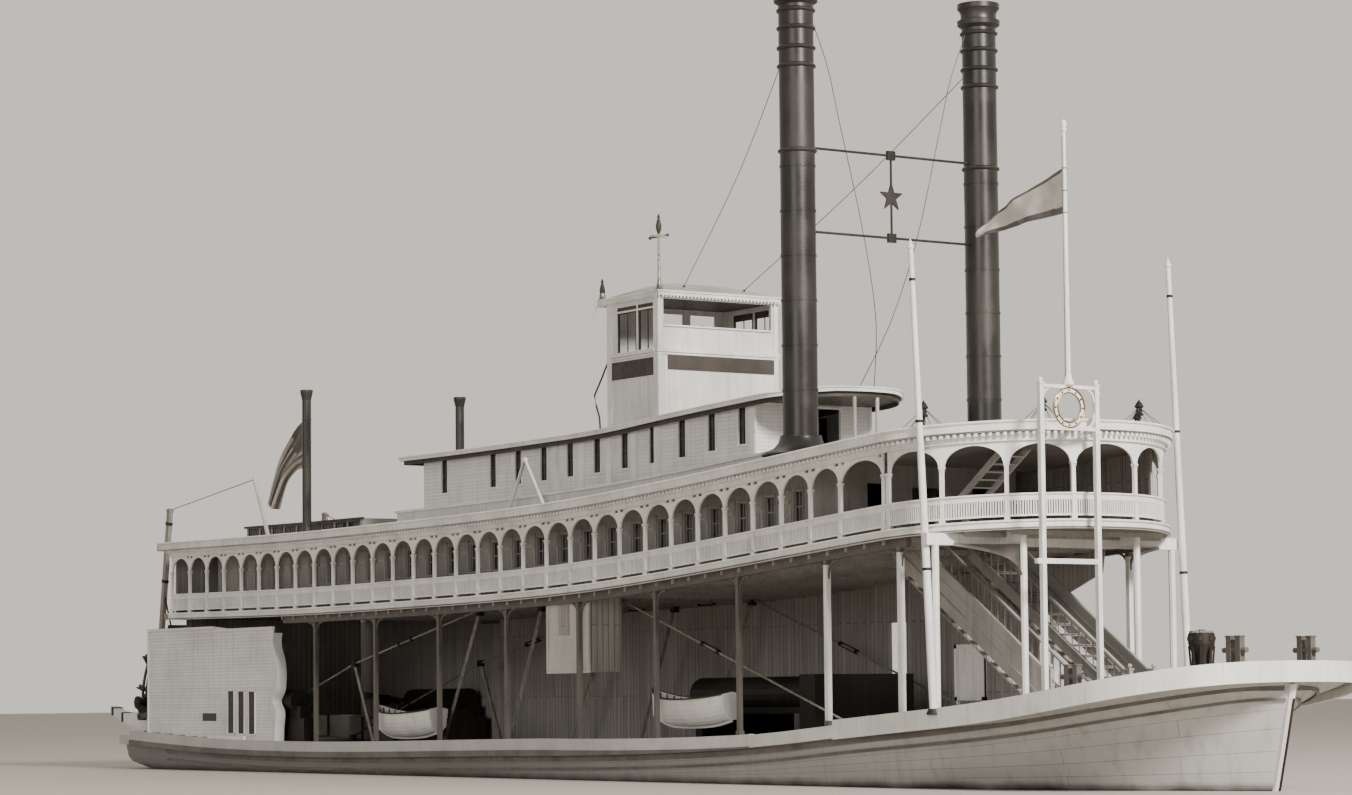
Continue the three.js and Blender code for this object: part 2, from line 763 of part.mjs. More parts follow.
// Hurricane deck, with the long box and the poles that stand on it
const SKYLIGHT = [-2413, -1480]; // after and forward end of the box
const SKYLIGHT_HALF = 245;
const SKYLIGHT_HIGH = 56;
const ROOF_POLES = [
  // [foot x, foot y, head x, head y, head z, radius]: a leaning pole and a pair of sheer legs
  [-2120, -300, -2243, -300, 1247, 7],
  [-290, -335, -180, -335, 1188, 5],
  [-50, -335, -180, -335, 1188, 5],
];
place(
  "hurricane_deck",
  join([
    slab(
      slabStations(UPPER_STATIONS, UPPER_AFT - 30, ROUND_X, ROUND_LENGTH + ROOF_OVERHANG),
      upperHalf(UPPER_HALF + ROOF_OVERHANG, ROUND_X, ROUND_LENGTH + ROOF_OVERHANG),
      (x) => upper(x) + ARCADE_TOP + GAP,
      (x) => upper(x) + ROOF_TOP,
    ),
    slab(
      steps(SKYLIGHT[0], SKYLIGHT[1], 3),
      () => SKYLIGHT_HALF,
      (x) => roofTop(x) - 6,
      (x) => roofTop(x) + SKYLIGHT_HIGH,
    ),
    ...ROOF_POLES.map(([x, y, headX, headY, headZ, radius]) =>
      bar([x, y, roofTop(x) - 4], [headX, headY, headZ], radius, 8),
    ),
  ]),
  PAINT.white,
);

// Main-deck stanchions under a longitudinal beam on each side
const STANCHIONS = [-1500, -1050, -600, -150, 300, 750, 1200, 1650, 2000];
SIDES.forEach(([name, side]) => {
  const y = side * 428;
  const rail = loft(
    [ROOM_FRONT + 40, ...UPPER_STATIONS.filter((x) => x > -1700 && x < 2000), 2040].map((x) => [
      [x, y - 9, upper(x) - 26],
      [x, y + 9, upper(x) - 26],
      [x, y + 9, upper(x) - GAP],
      [x, y - 9, upper(x) - GAP],
    ]),
  );
  place(
    `stanchions_${name}`,
    join([
      rail,
      ...STANCHIONS.map((x) => block([x - 7, y - 7, deckTop(x + 7) + GAP], [x + 7, y + 7, upper(x) - 10])),
    ]),
    PAINT.white,
  );
});
// Beam across the front with its end posts, and two posts farther forward
const FRONT_BEAM = [2165, 2183]; // after and forward face
const FRONT_BEAM_LOW = 800;
const END_POST = [2174, 440]; // [x, y]
const INNER_POST = [2280, 210];
place(
  "front_beam",
  join([
    block([FRONT_BEAM[0], -476, FRONT_BEAM_LOW], [FRONT_BEAM[1], 476, upper(FRONT_BEAM[0]) - GAP]),
    ...SIDES.flatMap(([, side]) => [
      bar(
        [END_POST[0], side * END_POST[1], deckTop(END_POST[0] + 10) + 2 * GAP],
        [END_POST[0], side * END_POST[1], FRONT_BEAM_LOW + 6],
        10, 8,
      ),
      bar(
        [INNER_POST[0], side * INNER_POST[1], deckTop(INNER_POST[0] + 10) + 2 * GAP],
        [INNER_POST[0], side * INNER_POST[1], upper(INNER_POST[0] - 10) - GAP],
        10, 8,
      ),
      block(
        [FRONT_BEAM[1] - 1, side * INNER_POST[1] - 6, FRONT_BEAM_LOW + 8],
        [INNER_POST[0], side * INNER_POST[1] + 6, upper(FRONT_BEAM[0]) - GAP],
      ),
    ]),
  ]),
  PAINT.white,
);

// Hog chains: iron rods along each side, held up by braces that stand on the deck
const CHAIN_Y = 270;
const BRACES = [
  // [foot x, head x, head z or null for one that reaches the boiler deck]
  [-1345, -1494, 520],
  [-849, -592, null],
  [-402, -181, null],
  [16, 284, null],
];
const CHAIN_END = [-2500, 1560]; // where the rods go down to the deck
const CROSS_TIMBERS = [1, 2, 3]; // the braces whose heads a timber ties across the boat
function hogChains() {
  const heads = BRACES.map(([, x, z]) => [x, z ?? upper(x) - 9]);
  const ends = CHAIN_END.map((x) => [x, deckTop(x) + 12]);
  const line = [ends[0], ...heads, ends[1]];
  return join([
    ...SIDES.flatMap(([, side]) => {
      const y = side * CHAIN_Y;
      return [
        ...BRACES.map(([foot], i) =>
          beam([foot, y, deckTop(foot) + 3.5], [heads[i][0], y, heads[i][1]], 10, 10),
        ),
        ...line.slice(1).map(([x, z], i) => bar([line[i][0], y, line[i][1]], [x, y, z], 3.5, 6)),
        ...ends.map(([x, z]) =>
          block([x - 16, y - 8, Math.max(deckTop(x - 16), deckTop(x + 16)) + GAP], [x + 16, y + 8, z + 8]),
        ),
      ];
    }),
    ...CROSS_TIMBERS.map((i) => {
      const [x, z] = heads[i];
      return block([x - 8, -CHAIN_Y - 8, z - 9], [x + 8, CHAIN_Y + 8, z + 7]);
    }),
  ]);
}
place("hog_chains", hogChains(), PAINT.dark);

// Boarding between the freight deck and the port side, with a doorway
place(
  "freight_bulkhead",
  sheet({
    path: sidePath(395),
    ends: [-1560, 1240],
    low: GAP + 0.4,
    high: (s) => upper(s) - GAP - deckTop(s),
    thick: 6,
    base: deckTop,
    holes: [hole(920, 40, 82, 330)],
  }),
  PAINT.dark,
);

// Arcade and balustrade round the boiler deck
const archWide = BAY - POST_WIDTH;
const bayCentres = steps(0, SIDE_BAYS - 1, SIDE_BAYS - 1).map((i) => FIRST_POST_X + BAY * (i + 0.5));
const aftBays = [-2415, -2560];
SIDES.forEach(([name, side]) => {
  const centres = [...aftBays, ...bayCentres];
  place(
    `arcade_${name}`,
    sheet({
      path: sidePath(side * (UPPER_HALF - 14)),
      ends: [-2650, ROUND_X - 2],
      low: UPPER_THICK + GAP,
      high: ARCADE_TOP,
      thick: ARCADE_THICK,
      base: upper,
      holes: [
        ...centres.map((s) => archHole(s, RAIL_TOP, s < FIRST_POST_X ? 118 : archWide, 238, 52)),
        archHole(1862, RAIL_TOP, 190, 238, 52),
      ],
    }),
    PAINT.white,
  );
});
const frontPath = (inset) => roundPath(ROUND_X, ROUND_LENGTH - inset, UPPER_HALF - inset);
place(
  "arcade_front",
  sheet({
    path: frontPath(14),
    ends: [-89, 89],
    step: 5,
    low: UPPER_THICK + 2 * GAP,
    high: ARCADE_TOP,
    thick: ARCADE_THICK,
    base: upper,
    holes: FRONT_POST_ANGLES.slice(1).map((a, i) => {
      const before = FRONT_POST_ANGLES[i];
      return archHole((a + before) / 2, RAIL_TOP + 8, a - before - 1.7, 238, 62);
    }),
  }),
  PAINT.white,
);
// Saloon cabin, with a doorway in its front
const saloonTop = ARCADE_TOP - GAP;
SIDES.forEach(([name, side]) => {
  place(
    `saloon_side_${name}`,
    sheet({
      path: sidePath(side * SALOON_HALF),
      ends: [SALOON_AFT, SALOON_FRONT],
      low: UPPER_THICK + GAP,
      high: saloonTop,
      thick: WALL,
      base: upper,
      holes: bayCentres
        .filter((s) => s > SALOON_AFT + 60 && s < SALOON_FRONT - 60)
        .map((s) => hole(s, 118, 44, 96)),
    }),
    PAINT.white,
  );
});
const saloonEnd = (x, holes) =>
  sheet({
    path: crossPath(x),
    ends: [-SALOON_HALF + GAP, SALOON_HALF - GAP],
    low: upper(x) + UPPER_THICK + 1.2,
    high: upper(x) + saloonTop - 0.8,
    thick: WALL,
    holes,
  });
const DOOR_HALF = 62;
const DOOR_HIGH = 205;
const HINGE_RADIUS = 1.5;
const doorLow = upper(SALOON_FRONT) + UPPER_THICK + 8;
place(
  "saloon_front",
  saloonEnd(SALOON_FRONT - WALL - 1, [
    hole(0, doorLow, 2 * DOOR_HALF, DOOR_HIGH - UPPER_THICK - 8),
    hole(-200, upper(SALOON_FRONT) + 118, 60, 96),
    hole(200, upper(SALOON_FRONT) + 118, 60, 96),
  ]),
  PAINT.white,
);
place("saloon_aft", saloonEnd(SALOON_AFT + 1, [hole(0, upper(SALOON_AFT) + 118, 60, 96)]), PAINT.white);
// A door leaf whose hinge barrels stand in the outer face beside the jamb
function doorLeaf({ face, inward, jamb, toward, wide, low, high }) {
  const gap = 3;
  const pivot = jamb + toward * (HINGE_RADIUS + GAP);
  const across = [pivot - toward * 0.7, jamb + toward * (wide - gap)].sort((a, b) => a - b);
  const through = [face, face + inward * 5].sort((a, b) => a - b);
  const barrels = [0.18, 0.82].map((part) => {
    const z = low + (high - low) * part;
    return bar([face, pivot, z - 8], [face, pivot, z + 8], HINGE_RADIUS, 10);
  });
  return join([block([through[0], across[0], low + gap], [through[1], across[1], high - gap]), ...barrels]);
}
SIDES.forEach(([name, side]) => {
  place(
    `saloon_door_${name}`,
    doorLeaf({
      face: SALOON_FRONT - 2,
      inward: -1,
      jamb: side * DOOR_HALF,
      toward: -side,
      wide: DOOR_HALF,
      low: doorLow,
      high: doorLow + DOOR_HIGH - UPPER_THICK - 8,
    }),
    PAINT.dark,
  );
});

// Texas: a low skirt, four walls and a roof that is round in front
function texasSkirt() {
  const shell = slab(
    steps(SKIRT_AFT, SKIRT_FRONT, 12),
    () => SKIRT_HALF,
    (x) => roofTop(x) + GAP,
    (x) => skirtTop(x) + SKIRT_DECK,
  );
  const inside = slab(
    steps(SKIRT_AFT + WALL, SKIRT_FRONT - WALL, 12),
    () => SKIRT_HALF - WALL,
    (x) => roofTop(x) - 5,
    (x) => skirtTop(x),
  );
  const windows = steps(-1030, SKIRT_FRONT - 110, 14).map((x) =>
    block([x - 35, -SKIRT_HALF - 5, roofTop(x) + 16], [x + 35, SKIRT_HALF + 5, roofTop(x) + 40]),
  );
  return cut(shell, [inside, ...windows]);
}
place("texas_skirt", texasSkirt(), PAINT.white);
SIDES.forEach(([name, side]) => {
  place(
    `texas_side_${name}`,
    sheet({
      path: sidePath(side * TEXAS_HALF),
      ends: [TEXAS_AFT, TEXAS_FRONT],
      low: (s) => skirtTop(s) + 8 + GAP,
      high: (s) => texasTop(s) - TEXAS_ROOF_THICK - GAP,
      thick: WALL,
      holes: TEXAS_WINDOWS.map((s) => {
        const low = skirtTop(s) + TEXAS_WINDOW_SILL;
        return hole(s, low, TEXAS_WINDOW_WIDE, texasTop(s) - TEXAS_WINDOW_HEAD - low);
      }),
    }),
    PAINT.white,
  );
});
TEXAS_DOORWAYS.forEach(([name, x, y, wide, sill, head]) => {
  place(
    `texas_${name}`,
    sheet({
      path: crossPath(x),
      ends: [-TEXAS_HALF + GAP, TEXAS_HALF - GAP],
      low: skirtTop(x + WALL) + 8 + GAP + 1,
      high: texasTop(x) - TEXAS_ROOF_THICK - GAP - 1,
      thick: WALL,
      holes: [hole(y, skirtTop(x) + sill, wide, texasTop(x) - head - skirtTop(x) - sill)],
    }),
    PAINT.white,
  );
});
const AWNING_POST = [1284, 44]; // [x, y], one on each side
place(
  "texas_roof",
  join([
    slab(
      slabStations(TEXAS_STATIONS, -1180, TEXAS_ROUND_X, TEXAS_ROUND_LENGTH),
      upperHalf(TEXAS_ROOF_HALF, TEXAS_ROUND_X, TEXAS_ROUND_LENGTH),
      (x) => texasTop(x) - TEXAS_ROOF_THICK,
      texasTop,
    ),
    ...SIDES.map(([, side]) => {
      const [x, y] = AWNING_POST;
      return bar([x, side * y, roofTop(x + 8) + 2 * GAP], [x, side * y, texasTop(x) - 4], 6, 8);
    }),
  ]),
  PAINT.white,
);

// Pilothouse: closed below the sill, windows at the sides and the back, open in front
const pilotBase = (x) => texasTop(x) + GAP;
const PILOT_WINDOWS = [
  // [centre x, width]: the openings in each side
  [306, 112],
  [427, 106],
];
const PANE_HIGH = PILOT_HEAD - PILOT_SILL;
SIDES.forEach(([name, side]) => {
  place(
    `pilothouse_side_${name}`,
    sheet({
      path: sidePath(side * PILOT_HALF),
      ends: [PILOT_AFT, PILOT_FRONT],
      low: pilotBase,
      high: PILOT_EAVE - GAP,
      thick: WALL,
      holes: PILOT_WINDOWS.map(([x, wide]) => hole(x, PILOT_SILL, wide, PANE_HIGH)),
    }),
    PAINT.white,
  );
});
const PILOT_WHEEL_X = 400;
const PILOT_WHEEL_Z = 1480;
const PILOT_WHEEL_R = 105;
const PILOT_WHEEL_RIM = [81, 91]; // inner and outer radius
const PILOT_WHEEL_SPOKES = 8;
const PILOT_WHEEL_SHAFT = 9;
const PILOT_BEARING = 452; // after face of the bearing inside the front
function pilotFront() {
  const wall = sheet({
    path: crossPath(PILOT_FRONT - WALL - 1),
    ends: [-PILOT_HALF + GAP, PILOT_HALF - GAP],
    low: pilotBase(PILOT_FRONT) + 1,
    high: PILOT_EAVE - GAP,
    thick: WALL,
    holes: [hole(0, PILOT_BREAST, 2 * PILOT_HALF - 30, PILOT_EAVE - 8 - PILOT_BREAST)],
  });
  const bearing = block(
    [PILOT_BEARING, -18, PILOT_WHEEL_Z - 18],
    [PILOT_FRONT - WALL, 18, PILOT_WHEEL_Z + 18],
  );
  const bore = bar(
    [PILOT_BEARING - 5, 0, PILOT_WHEEL_Z], [PILOT_FRONT - WALL - 8, 0, PILOT_WHEEL_Z],
    PILOT_WHEEL_SHAFT + GAP, 16,
  );
  return cut(join([wall, bearing]), [bore]);
}
place("pilothouse_front", pilotFront(), PAINT.white);
const PILOT_DOOR_Y = -140;
const PILOT_DOOR_LOW = 1300;
const PILOT_DOOR_WIDE = 76;
const PILOT_DOOR_HIGH = 230;
place(
  "pilothouse_back",
  sheet({
    path: crossPath(PILOT_AFT + 1),
    ends: [-PILOT_HALF + GAP, PILOT_HALF - GAP],
    low: pilotBase(PILOT_AFT + WALL) + 1,
    high: PILOT_EAVE - GAP,
    thick: WALL,
    holes: [
      hole(PILOT_DOOR_Y, PILOT_DOOR_LOW, PILOT_DOOR_WIDE, PILOT_DOOR_HIGH),
      hole(10, PILOT_SILL, 100, PANE_HIGH),
      hole(140, PILOT_SILL, 100, PANE_HIGH),
    ],
  }),
  PAINT.white,
);
place(
  "pilothouse_door",
  doorLeaf({
    face: PILOT_AFT + 1,
    inward: 1,
    jamb: PILOT_DOOR_Y - PILOT_DOOR_WIDE / 2,
    toward: 1,
    wide: PILOT_DOOR_WIDE,
    low: PILOT_DOOR_LOW,
    high: PILOT_DOOR_LOW + PILOT_DOOR_HIGH,
  }),
  PAINT.dark,
);
const PILOT_ROOF = [
  // [inset from the eave, z]
  [0, PILOT_EAVE],
  [0, PILOT_EAVE + 14],
  [55, PILOT_EAVE + 36],
  [120, PILOT_CROWN],
];
const PILOT_POLES = [
  // [x, z of the top, radius at the foot]: at the corners of the roof
  [152, 1770, 6],
  [492, 1946, 4],
];
const PILOT_POLE_Y = -232;
function pilotRoof() {
  const roof = loft(
    PILOT_ROOF.map(([inset, z]) => {
      const aft = PILOT_AFT - 4 * PILOT_OVERHANG + inset;
      const fore = PILOT_FRONT + PILOT_OVERHANG - inset;
      const half = PILOT_HALF + PILOT_OVERHANG - inset;
      return [[aft, -half, z], [fore, -half, z], [fore, half, z], [aft, half, z]];
    }),
  );
  const poles = PILOT_POLES.map(([x, top, radius]) =>
    bar([x, PILOT_POLE_Y, PILOT_EAVE + 4], [x, PILOT_POLE_Y, top], radius, 8, 2.5),
  );
  const [mastX, mastTop] = PILOT_POLES[1];
  const yard = block(
    [mastX - 3, PILOT_POLE_Y - 30, mastTop - 72],
    [mastX + 3, PILOT_POLE_Y + 30, mastTop - 66],
  );
  return join([roof, ...poles, yard]);
}
place("pilothouse_roof", pilotRoof(), PAINT.white);
// Steering wheel of the pilothouse, on a shaft along the boat
function pilotWheel() {
  const [inner, outer] = PILOT_WHEEL_RIM;
  const rim = new THREE.LatheGeometry(
    [[inner, -3], [outer, -3], [outer, 3], [inner, 3], [inner, -3]].map(([r, h]) => new THREE.Vector2(r, h)),
    16,
  ).rotateZ(Math.PI / 2).translate(PILOT_WHEEL_X, 0, PILOT_WHEEL_Z);
  const spokes = steps(0, PILOT_WHEEL_SPOKES - 1, PILOT_WHEEL_SPOKES - 1).map((i) => {
    const a = rad((360 / PILOT_WHEEL_SPOKES) * i);
    return bar(
      [PILOT_WHEEL_X, 0, PILOT_WHEEL_Z],
      [PILOT_WHEEL_X, PILOT_WHEEL_R * Math.cos(a), PILOT_WHEEL_Z + PILOT_WHEEL_R * Math.sin(a)],
      3, 6,
    );
  });
  const shaft = bar(
    [PILOT_WHEEL_X - 10, 0, PILOT_WHEEL_Z], [PILOT_FRONT - WALL - 10, 0, PILOT_WHEEL_Z],
    PILOT_WHEEL_SHAFT, 16,
  );
  return join([rim, shaft, ...spokes]);
}
place("pilot_wheel", pilotWheel(), PAINT.wheel);
// Chimneys with their rings, flanges and flared crowns, and the spreaders between them
SIDES.forEach(([name, side]) => {
  const x = STACK_X;
  const y = side * STACK_Y;
  const foot = roofTop(x + 84) + GAP;
  const ring = (z, grow, high) => [
    [STACK_RADIUS, z - high],
    [STACK_RADIUS + grow, z],
    [STACK_RADIUS, z + high],
  ];
  place(
    `chimney_${name}`,
    turned(x, y, [
      [0, foot],
      [84, foot],
      [84, foot + 8],
      [62, foot + 42],
      [62, foot + 64],
      [STACK_RADIUS, foot + 66],
      ...STACK_RINGS.flatMap((z) => ring(z, 7, 9)),
      ...ring(STACK_FLANGE, 14, 10),
      [STACK_RADIUS + 13, STACK_TOP - 22],
      [STACK_RADIUS + 13, STACK_TOP],
      [STACK_RADIUS - 4, STACK_TOP],
      [STACK_RADIUS - 4, foot + STACK_FLOOR],
      [0, foot + STACK_FLOOR],
    ], 16),
    PAINT.iron,
  );
  place(
    `steam_pipe_${name}`,
    turned(PIPE_X, side * PIPE_Y, [
      [0, roofTop(PIPE_X) + GAP + 0.6],
      [24, roofTop(PIPE_X) + GAP + 0.6],
      [17, roofTop(PIPE_X) + 30],
      [17, PIPE_TOP - 38],
      [24, PIPE_TOP - 8],
      [24, PIPE_TOP],
      [14, PIPE_TOP],
      [14, PIPE_TOP - 250],
      [0, PIPE_TOP - 250],
    ], 14),
    PAINT.iron,
  );
});
// A flat shape drawn in (across, height) and set upright across the boat, from x to x + thick
const upright = (points, x, thick) =>
  new THREE.ExtrudeGeometry(new THREE.Shape(points.map(([y, z]) => new THREE.Vector2(y, z))), {
    depth: thick,
    bevelEnabled: false,
  }).rotateX(Math.PI / 2).rotateZ(Math.PI / 2).translate(x, 0, 0);
const spreaderReach = STACK_Y - STACK_RADIUS - GAP - 0.4;
const SPREADER_Z = [1777, 2031];
const STAR_Z = 1903;
const STAR_RADII = [46, 18]; // of the five points and of the corners between them
const starPoints = steps(0, 9, 9).map((i) => [
  STAR_RADII[i % 2] * Math.sin(rad(36 * i)),
  STAR_Z + STAR_RADII[i % 2] * Math.cos(rad(36 * i)),
]);
place(
  "chimney_spreader",
  join([
    ...SPREADER_Z.flatMap((z) => [
      bar([STACK_X, -spreaderReach, z], [STACK_X, spreaderReach, z], 4, 8),
      block([STACK_X - 5, -15, z - 14], [STACK_X + 5, 15, z + 14]),
    ]),
    block([STACK_X - 2, -3, SPREADER_Z[0]], [STACK_X + 2, 3, SPREADER_Z[1]]),
    upright(starPoints, STACK_X - 3, 6),
  ]),
  PAINT.iron,
);

// Twin stairs from the forecastle to the boiler deck, through an opening in it
function frontStairs() {
  const foot = deckTop(STAIR_FOOT_X + 8) + GAP;
  const head = upper(STAIR_TOP_X) + UPPER_THICK;
  const rise = (x) => foot + ((head - foot) * (STAIR_FOOT_X - x)) / (STAIR_FOOT_X - STAIR_TOP_X);
  const pieces = [];
  SIDES.forEach(([, side]) => {
    STAIR_Y.forEach((y) => {
      const string = new THREE.Shape(
        [
          [STAIR_TOP_X, rise(STAIR_TOP_X) - 34],
          [STAIR_FOOT_X - 46, foot],
          [STAIR_FOOT_X + 8, foot],
          [STAIR_TOP_X, rise(STAIR_TOP_X) + 4],
        ].map(([x, z]) => new THREE.Vector2(x, z)),
      );
      pieces.push(
        new THREE.ExtrudeGeometry(string, { depth: STAIR_STRING, bevelEnabled: false })
          .rotateX(Math.PI / 2)
          .translate(0, side * y + STAIR_STRING / 2, 0),
      );
    });
    const inside = [side * (STAIR_Y[0] - 1), side * (STAIR_Y[1] + 1)].sort((a, b) => a - b);
    for (let i = 0; i < STEPS_COUNT; i += 1) {
      const x = STAIR_FOOT_X - 40 - ((STAIR_FOOT_X - STAIR_TOP_X - 60) * i) / (STEPS_COUNT - 1);
      const z = rise(x) - 8;
      pieces.push(block([x - 15, inside[0], z - 2], [x + 15, inside[1], z + 2]));
    }
  });
  const landing = [STAIR_TOP_X + 1, STAIR_TOP_X + 12];
  pieces.push(block([landing[0], -STAIR_Y[1], head - 30], [landing[1], STAIR_Y[1], head - 12]));
  return join(pieces);
}
place("front_stairs", frontStairs(), PAINT.white);

// Spars at the ends of the front beam, the landing frame and the jackstaff
SIDES.forEach(([name, side]) => {
  place(
    `spar_${name}`,
    bar([2217, side * 462, sheer(2217) + 15.7], [2160, side * 458, 1640], 11, 10, 7),
    PAINT.white,
  );
});
const FRAME_X = 2450;
const STAFF_Y = -182;
const RING = [43, 54]; // inner and outer radius of the ornament between the upper bars
place(
  "jackstaff_frame",
  join([
    new THREE.LatheGeometry(
      [[RING[0], -3], [RING[1], -3], [RING[1], 3], [RING[0], 3], [RING[0], -3]].map(
        ([r, h]) => new THREE.Vector2(r, h),
      ),
      16,
    ).rotateZ(Math.PI / 2).translate(FRAME_X, STAFF_Y, 1173),
    ...[-282, -82].map((y) =>
      block([FRAME_X - 7, y - 7, deckTop(FRAME_X + 7) + GAP], [FRAME_X + 7, y + 7, 1236]),
    ),
    block([FRAME_X - 5, -282, 1226], [FRAME_X + 5, -82, 1236]),
    block([FRAME_X - 5, -282, 1110], [FRAME_X + 5, -82, 1120]),
    block([FRAME_X - 7, -306, 740], [FRAME_X + 7, -82, 754]),
    bar([FRAME_X, STAFF_Y, 1232], [FRAME_X, STAFF_Y, 1950], 9, 12, 5),
  ]),
  PAINT.white,
);

// Pennant on the jackstaff and ensign abaft the starboard steam pipe
const FLAG_THICK = 1.6;
const flag = (points, y) =>
  new THREE.ExtrudeGeometry(new THREE.Shape(points.map(([x, z]) => new THREE.Vector2(x, z))), {
    depth: FLAG_THICK,
    bevelEnabled: false,
  }).rotateX(Math.PI / 2).translate(0, y + FLAG_THICK / 2, 0);
const PENNANT = [
  // [x, z]
  [FRAME_X - 5.9, 1842],
  [2248, 1788],
  [2130, 1752],
  [2066, 1690],
  [2248, 1706],
  [FRAME_X - 6.6, 1716],
];
const ENSIGN = [
  // [x, z]
  [PIPE_X - 17.4, 1440],
  [-1871, 1372],
  [-1946, 1301],
  [-2031, 1134],
  [-1999, 1113],
  [-1915, 1215],
  [-1835, 1252],
  [PIPE_X - 17.4, 1262],
];
place("pennant", flag(PENNANT, STAFF_Y), PAINT.cloth);
place("ensign", flag(ENSIGN, -PIPE_Y), PAINT.cloth);

// Hanging box under the boiler deck on the starboard side
place(
  "side_closet",
  join([block([92, -418, 468], [339, -290, upper(92) - 1])]),
  PAINT.white,
);

// Two yawls stowed on chocks on the main deck, bows aft
function yawl(transom, y, z) {
  const rows = [
    // [distance from the transom, half breadth, keel height, gunwale height]
    [0, 34, 18, 66],
    [90, 58, 6, 56],
    [220, 64, 0, 52],
    [340, 44, 6, 60],
    [430, 6, 30, 80],
  ];
  const ringsOf = (inset, lift) =>
    rows.map(([d, half, keel, gunwale], i) => {
      const end = i === 0 ? inset : i === rows.length - 1 ? -inset * 2 : 0;
      const b = Math.max(half - inset, 1);
      return [
        [transom - d - end, y - b, z + gunwale + lift],
        [transom - d - end, y - b * 0.55, z + keel + inset],
        [transom - d - end, y + b * 0.55, z + keel + inset],
        [transom - d - end, y + b, z + gunwale + lift],
      ];
    });
  const chocks = [110, 300].map((d) =>
    block(
      [transom - d - 8, y - 34, deckTop(transom - d + 8) + GAP],
      [transom - d + 8, y + 34, z + 3 * YAWL_SKIN],
    ),
  );
  return cut(join([loft(ringsOf(0, 0)), ...chocks]), [loft(ringsOf(YAWL_SKIN, 4))]);
}
const YAWLS = [
  // [name, x of the transom, z of the keel]
  ["aft", -744, 285],
  ["forward", 1048, 325],
];
const YAWL_Y = -350;
YAWLS.forEach(([name, transom, z]) => place(`yawl_${name}`, yawl(transom, YAWL_Y, z), PAINT.white));

export default boat;
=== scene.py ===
# Stern-wheel river packet steamer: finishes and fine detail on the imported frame.
# Metres, +X to the bow, +Y to port, +Z up. The water stands at z = 0.12.
from math import atan2, cos, degrees, pi, radians, sin, sqrt

import bmesh
import bpy
from mathutils import Matrix, Vector
from mathutils.bvhtree import BVHTree


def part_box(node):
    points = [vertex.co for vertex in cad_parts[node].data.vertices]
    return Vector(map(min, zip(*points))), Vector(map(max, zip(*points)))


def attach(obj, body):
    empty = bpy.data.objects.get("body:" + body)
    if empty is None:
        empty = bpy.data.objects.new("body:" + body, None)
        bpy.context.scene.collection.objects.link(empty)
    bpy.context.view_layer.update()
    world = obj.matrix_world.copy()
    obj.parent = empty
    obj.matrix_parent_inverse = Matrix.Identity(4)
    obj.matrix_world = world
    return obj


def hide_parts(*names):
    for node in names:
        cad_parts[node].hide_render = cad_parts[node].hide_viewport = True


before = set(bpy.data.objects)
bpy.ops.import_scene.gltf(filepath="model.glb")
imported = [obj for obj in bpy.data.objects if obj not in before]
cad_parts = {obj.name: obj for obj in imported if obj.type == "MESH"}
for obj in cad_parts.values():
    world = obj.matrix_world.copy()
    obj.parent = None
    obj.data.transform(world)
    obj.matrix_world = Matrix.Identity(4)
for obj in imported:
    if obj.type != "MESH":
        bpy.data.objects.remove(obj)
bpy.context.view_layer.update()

# Viewpoint of the photograph: place, angles in degrees, lens in mm
VIEW_PLACE = (9.7455, -6.4214, 0.3789)
VIEW_YAW = 34.0263
VIEW_PITCH = 3.6468
VIEW_ROLL = -0.5628
VIEW_LENS = 91.98
VIEW_SHIFT_UP = 0.06

# Directions and turns
UP = Vector((0, 0, 1))
AHEAD = Vector((1, 0, 0))
ACROSS = Vector((0, 1, 0))
TURN = 2 * pi
SIDES = (("starboard", -1), ("port", 1))
FACING = {-1: 180.0, 1: 0.0}  # heading that turns +Y outward, by side

# Driving sizes of the boat, as the frame has them. Names in AFT, FRONT and X are places along it, HALF is from the
# middle line to a side, heights in the arcade are above the underside of the boiler deck
WATERLINE = 0.12
STERN_X = -3.112
TRANSOM_X = -2.72
UNDER_DECK = 0.0143  # the planking ends so far below the deck's top
BILGE_Z = 0.132
STRAKES = 9  # planks from the bilge to the deck
STANCHIONS = (-1.50, -1.05, -0.60, -0.15, 0.30, 0.75, 1.20, 1.65, 2.00)
STANCHION_Y = 0.428
CHAIN_Y = 0.27
YAWL_Y = -0.350
YAWL_STRAKES = 7
BAY = 0.1463
FIRST_POST = -2.34
SIDE_BAYS = 28
ROUND_X = 1.969  # the rounded front of the boiler deck starts here
ROUND_LENGTH = 0.44
UPPER_HALF = 0.464
UPPER_THICK = 0.025
RAIL_TOP = 0.100
RAIL_IN = 0.0095  # from the deck's edge to the middle of the rails
SPRING = 0.182  # arches spring at this height
ARCH_CROWN = 0.238
ARCADE_TOP = 0.271
ROOF_TOP = 0.303
POST_WIDE = 0.012
FRONT_POST_ANGLES = (-88, -63, -39, -14.5, 14.5, 39, 63, 88)
SALOON_HALF = 0.330
SALOON_AFT = -2.48
SALOON_FRONT = 1.59
TEXAS_HALF = 0.215
TEXAS_AFT = -1.06
TEXAS_FRONT = 1.01
TEXAS_WINDOWS = (-0.910, -0.574, -0.406, -0.238, -0.070, 0.098, 0.266, 0.434, 0.602, 0.770, 0.938)
TEXAS_LEAVES = (-0.165, 0.006, 0.171, 0.324, 0.460, 1.000)
TEXAS_ROOF_AFT = -1.18
TEXAS_ROOF_HALF = 0.250
TEXAS_ROUND_X = 1.063  # the rounded front of the texas roof starts here
TEXAS_ROUND_LENGTH = 0.240
SKIRT_HALF = 0.300
WALL = 0.007
PILOT_HALF = 0.230
PILOT_AFT = 0.190
PILOT_FRONT = 0.490
PILOT_SILL = 1.504
PILOT_BREAST = 1.586
PILOT_HEAD = 1.665
PILOT_EAVE = 1.685
